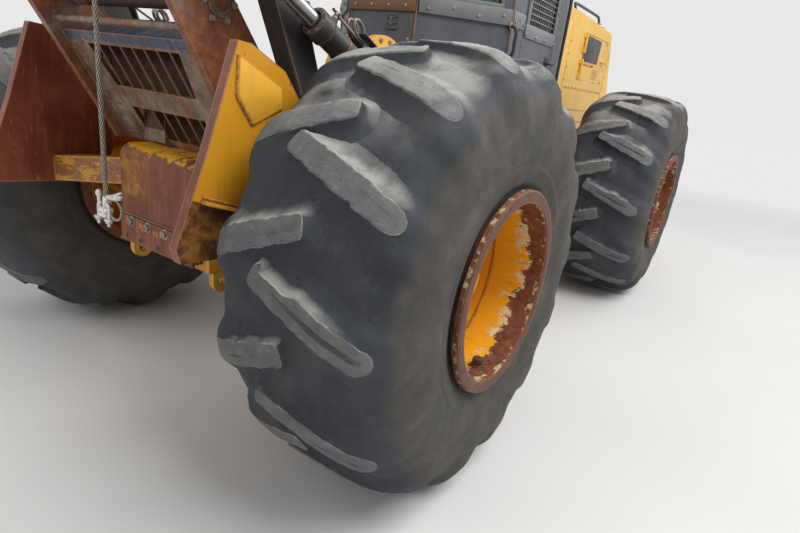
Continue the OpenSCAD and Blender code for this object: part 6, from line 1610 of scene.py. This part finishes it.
def arch_details():
    p, w = Parts(), Parts()
    for s in (-1, 1):
        for yy in (603, 697):
            w.weld([rear(-67, s * yy, 1250), rear(-440, s * yy, 1985)], 0.004)
        w.weld([rear(-520, s * 599, 2562), rear(-520, s * 599, 2718)], 0.007)
        p.lathe([(0, 0.058), (0.004, 0.062), (0.014, 0.06), (0.016, 0.04), (0.016, 0.01)], rear(-640, s * 729, 2103),
                (0, s, 0), 28)
        # hose clamps and hoses down the leg's front edge
        path = places(rear, (40, s * 640, 1300), (-60, s * 640, 1500), (-250, s * 640, 1960), (-310, s * 640, 2200),
                      (-345, s * 640, 2480))
        for dy in (-0.018, 0.018):
            p.tube(smooth_path([q + Vector((0.018, dy, 0)) for q in path], 0.03), 0.011, 12, 1)
        for x, z in ((-140, 1700), (-262, 2000), (-330, 2350)):
            q = rear(x, s * 640, z)
            p.box(q + Vector((-0.004, -0.038, -0.018)), q + Vector((0.036, 0.038, 0.018)), 0.004)
    for yy in (-86, 86):
        w.weld([rear(-522, yy, 2570), rear(-522, yy, 2712)])
    p.make("arch_fittings", [M["pin"], M["hose"]], "arch", "pin_steel")
    w.make("arch_welds", M["weld"], "arch", "pin_steel", 60)
    b, bw = Parts(), Parts()
    for s in (-1, 1):
        bw.weld([rear(-700, s * 91, 2778), rear(-1600, s * 91, 2668)], 0.005)
        bw.weld([rear(-700, s * 91, 2610), rear(-1210, s * 91, 2498)], 0.005)
        b.lathe([(0, 0.055), (0.004, 0.06), (0.012, 0.058), (0.014, 0.02)], rear(-2150, s * 91, 2450), (0, s, 0), 28)
        ring(b, rear(-2150, s * 101, 2450), (0, s, 0), 0.036, 4, 0.01, 0, False)
        b.lathe([(0, 0.034), (0.004, 0.038), (0.01, 0.036), (0.012, 0.01)], rear(-640, s * 137, 2700), (0, s, 0), 28)
        for dy in (30, 58):
            b.tube(smooth_path(places(rear, (-760, s * dy, 2796), (-900, s * dy, 2790), (-1600, s * dy, 2704),
                                      (-2000, s * dy, 2596), (-2110, s * dy, 2562)), 0.03), 0.012, 12, 1)
        for x, z in ((-1000, 2770), (-1300, 2733), (-1550, 2703), (-1850, 2628)):
            b.box(rear(x - 16, s * 44 - 36, z - 8), rear(x + 16, s * 44 + 36, z + 30), 0.004)
            b.bolt(rear(x, s * 44, z + 30), (0, 0, 1), 0.012, True, 2)
    b.make("boom_fittings", [M["pin"], M["hose"], M["bolt"]], "boom", "pin_steel")
    bw.make("boom_welds", M["weld"], "boom", "pin_steel", 60)
    # grapple: rotator flange and ports, pivot caps, tong edges
    g = Parts()

    def gx(x, y, z):
        """A place given from the rotator's axis."""
        return rear(-2150 + x, y, z)

    hoop(g, [(-0.014, 0.138), (-0.014, 0.156), (0.0, 0.158), (0.0, 0.138)], gx(0, 0, 2236), (0, 0, 1), 48)
    ring(g, gx(0, 0, 2222), (0, 0, -1), 0.147, 14, 0.012, 1, False)
    ring(g, gx(0, 0, 2100), (0, 0, 1), 0.2, 10, 0.016, 1)
    for a in (0.6, 1.1, 3.7, 4.2):
        u = Vector((math.cos(a), math.sin(a), 0))
        g.lathe([(0, 0.02), (0.004, 0.022), (0.02, 0.022), (0.024, 0.014), (0.034, 0.013)],
                gx(0, 0, 2170) + u * 0.137, u, 18, 1)
        g.tube(smooth_path([gx(0, 0, 2170) + u * 0.165, gx(0, 0, 2176) + u * 0.185, gx(0, 0, 2150) + u * 0.2,
                            gx(0, 0, 2112) + u * 0.196], 0.012), 0.011, 12, 2)
    for s in (-1, 1):
        for e in (-1, 1):
            g.lathe([(0, 0.05), (0.003, 0.054), (0.012, 0.052), (0.014, 0.03), (0.012, 0.01)],
                    gx(e * 149, s * 230, 1780), (e, 0, 0), 28)
            ring(g, gx(e * 160, s * 230, 1780), (e, 0, 0), 0.034, 3, 0.009, 1, False)
            g.weld([gx(e * 137, s * 295, 2098), gx(e * 137, s * 10, 2098)], 0.006, 3)
    g.make("grapple_fittings", [M["pin"], M["bolt"], M["hose"], M["weld"]], "grapple_head", "pin_steel")
    for s, name in ((1, "left"), (-1, "right")):
        t = Parts()
        for e in (-1, 1):
            t.weld([gx(e * 106, s * 424 * math.sin(a), 1322 - 424 * math.cos(a))
                    for a in [math.radians(18 + 6 * k) for k in range(15)]], 0.007)
        t.make("tong_welds_" + name, M["weld"], "tong_" + name, "pin_steel", 60)


def run_details():
    rear_details()
    wheel_details()
    cab_details()
    hood_details()
    front_details()
    inside_details()
    arch_details()
    arch_lines = [(rear(850, s * 768, 1385), rear(-640, s * 768, 2103)) for s in (-1, 1)]
    cylinder_bits("arch_barrel", "arch_barrels", arch_lines, 0.056, 1.257, (0, 0, 1), False)
    cylinder_bits("boom_barrel", "boom_barrels",
                  [(rear(-600, s * 150, 2300), rear(-1258, s * 150, 2480)) for s in (-1, 1)], 0.04, 0.51, (0, 0, 1),
                  False)
    cylinder_bits("blade_barrel", "blade_barrels",
                  [(front(1100, s * 330, 1330), front(1530, s * 330, 560)) for s in (-1, 1)], 0.046, 0.53, (1, 0, 0))
    for s, name in ((1, "left"), (-1, "right")):
        cylinder_bits("steer_barrel_" + name, "steer_barrel_" + name,
                      [(Vector((HINGE_X - 0.9, s * 0.52, 0.99)), Vector((HINGE_X + 0.06, s * 0.24, 0.99)))], 0.04,
                      0.62, (0, 0, 1))
    cylinder_bits("tong_barrel", "tong_barrel", [(rear(-2150, 380, 1950), rear(-2150, -380, 1950))], 0.044, 0.4,
                  (0, 0, -1), False)
    # channel over each arch barrel that carries the pipes, with two bent loops at its end
    k = Parts()
    for base, pin in arch_lines:
        d = (pin - base).normalized()
        up = (UP - d * d.z).normalized()
        mt = placed(base + d * 0.86 + up * 0.125, d, Vector((0, -math.copysign(1, base.y), 0)), up)
        k.box((-0.13, -0.03, 0), (0.13, 0.075, 0.006), 0.002, 0, mt)
        k.box((-0.13, 0.069, -0.06), (0.13, 0.075, 0.003), 0.002, 0, mt)
        for x in (-0.07, 0.07):
            k.box((x - 0.02, -0.006, -0.072), (x + 0.02, 0.004, 0.002), 0.002, 0, mt)
        for x in (-0.09, 0.0, 0.09):
            k.bolt(mt @ Vector((x, 0.02, 0.006)), up, 0.012, True, 1)
        for y0 in (0.01, 0.045):
            k.tube(smooth_path([mt @ Vector(v) for v in ((0.06, y0, -0.014), (0.14, y0, -0.012), (0.175, y0, 0.006),
                                                         (0.185, y0, 0.03), (0.165, y0, 0.044), (0.13, y0, 0.04),
                                                         (0.1, y0, 0.018))], 0.01), 0.0085, 12, 2)
    k.make("pipe_guard", [M["cab"], M["bolt"], M["steel"]], "arch_barrels", "pin_steel")


run_details()


# ---------------------------------------------------------------- stage, light and view
def soft_floor():
    """A pale floor that fades into the background's colour with distance."""
    me = bpy.data.meshes.new("floor")
    s = 60
    me.from_pydata([(-s, -s, 0), (s, -s, 0), (s, s, 0), (-s, s, 0)], [], [(0, 1, 2, 3)])
    ob = bpy.data.objects.new("floor", me)
    bpy.context.scene.collection.objects.link(ob)
    m = Mat("floor")
    x, y, _ = m.xyz()
    far = m.math("SQRT", x * x + y * y).step(4.5, 13.0)
    mat = m.finish(m.mix(far, m.tone((0.66, 0.655, 0.645), m.noise(0.5, 4), 0.97, 1.03), (0.01, 0.01, 0.01)), 0.85,
                   m.noise(40, 4), 0.05, 0.002, spec=0.0)
    m.bsdf.inputs["Emission Color"].default_value = (0.9, 0.9, 0.9, 1)
    m.put(m.bsdf.inputs["Emission Strength"], far * 0.9)
    me.materials.append(mat)


def area(name, at, to, size, power):
    li = bpy.data.lights.new(name, "AREA")
    li.shape, li.size, li.size_y, li.energy = "RECTANGLE", size[0], size[1], power
    ob = bpy.data.objects.new(name, li)
    bpy.context.scene.collection.objects.link(ob)
    ob.location = at
    ob.rotation_euler = (Vector(to) - Vector(at)).to_track_quat("-Z", "Y").to_euler()


def add_world():
    """Soft light all round; the camera sees a pale background."""
    w = bpy.data.worlds.new("studio")
    bpy.context.scene.world = w
    w.use_nodes = True
    t = w.node_tree
    t.nodes.clear()
    out, mix, path, light, seen, either = (t.nodes.new("ShaderNode" + kind)
                                           for kind in ("OutputWorld", "MixShader", "LightPath", "Background",
                                                        "Background", "Math"))
    light.inputs["Color"].default_value, light.inputs["Strength"].default_value = (1, 1, 1, 1), 0.55
    seen.inputs["Color"].default_value, seen.inputs["Strength"].default_value = (0.9, 0.9, 0.9, 1), 0.9
    either.operation = "MAXIMUM"
    for a, b in ((path.outputs["Is Camera Ray"], either.inputs[0]),
                 (path.outputs["Is Transmission Ray"], either.inputs[1]), (either.outputs[0], mix.inputs[0]),
                 (light.outputs[0], mix.inputs[1]), (seen.outputs[0], mix.inputs[2]),
                 (mix.outputs[0], out.inputs[0])):
        t.links.new(a, b)


soft_floor()
add_world()
area("key", (-1.5, -5.5, 8.0), (-1.2, 0, 0.8), (5, 5), 620)
area("left", (-7.5, 3.0, 5.0), (-1.5, 0, 0.8), (4, 4), 170)
area("front", (6.5, -4.5, 6.5), (1.5, 0, 1.2), (5, 5), 260)
bpy.context.scene.view_settings.view_transform = "Standard"
bpy.context.scene.view_settings.look = "None"
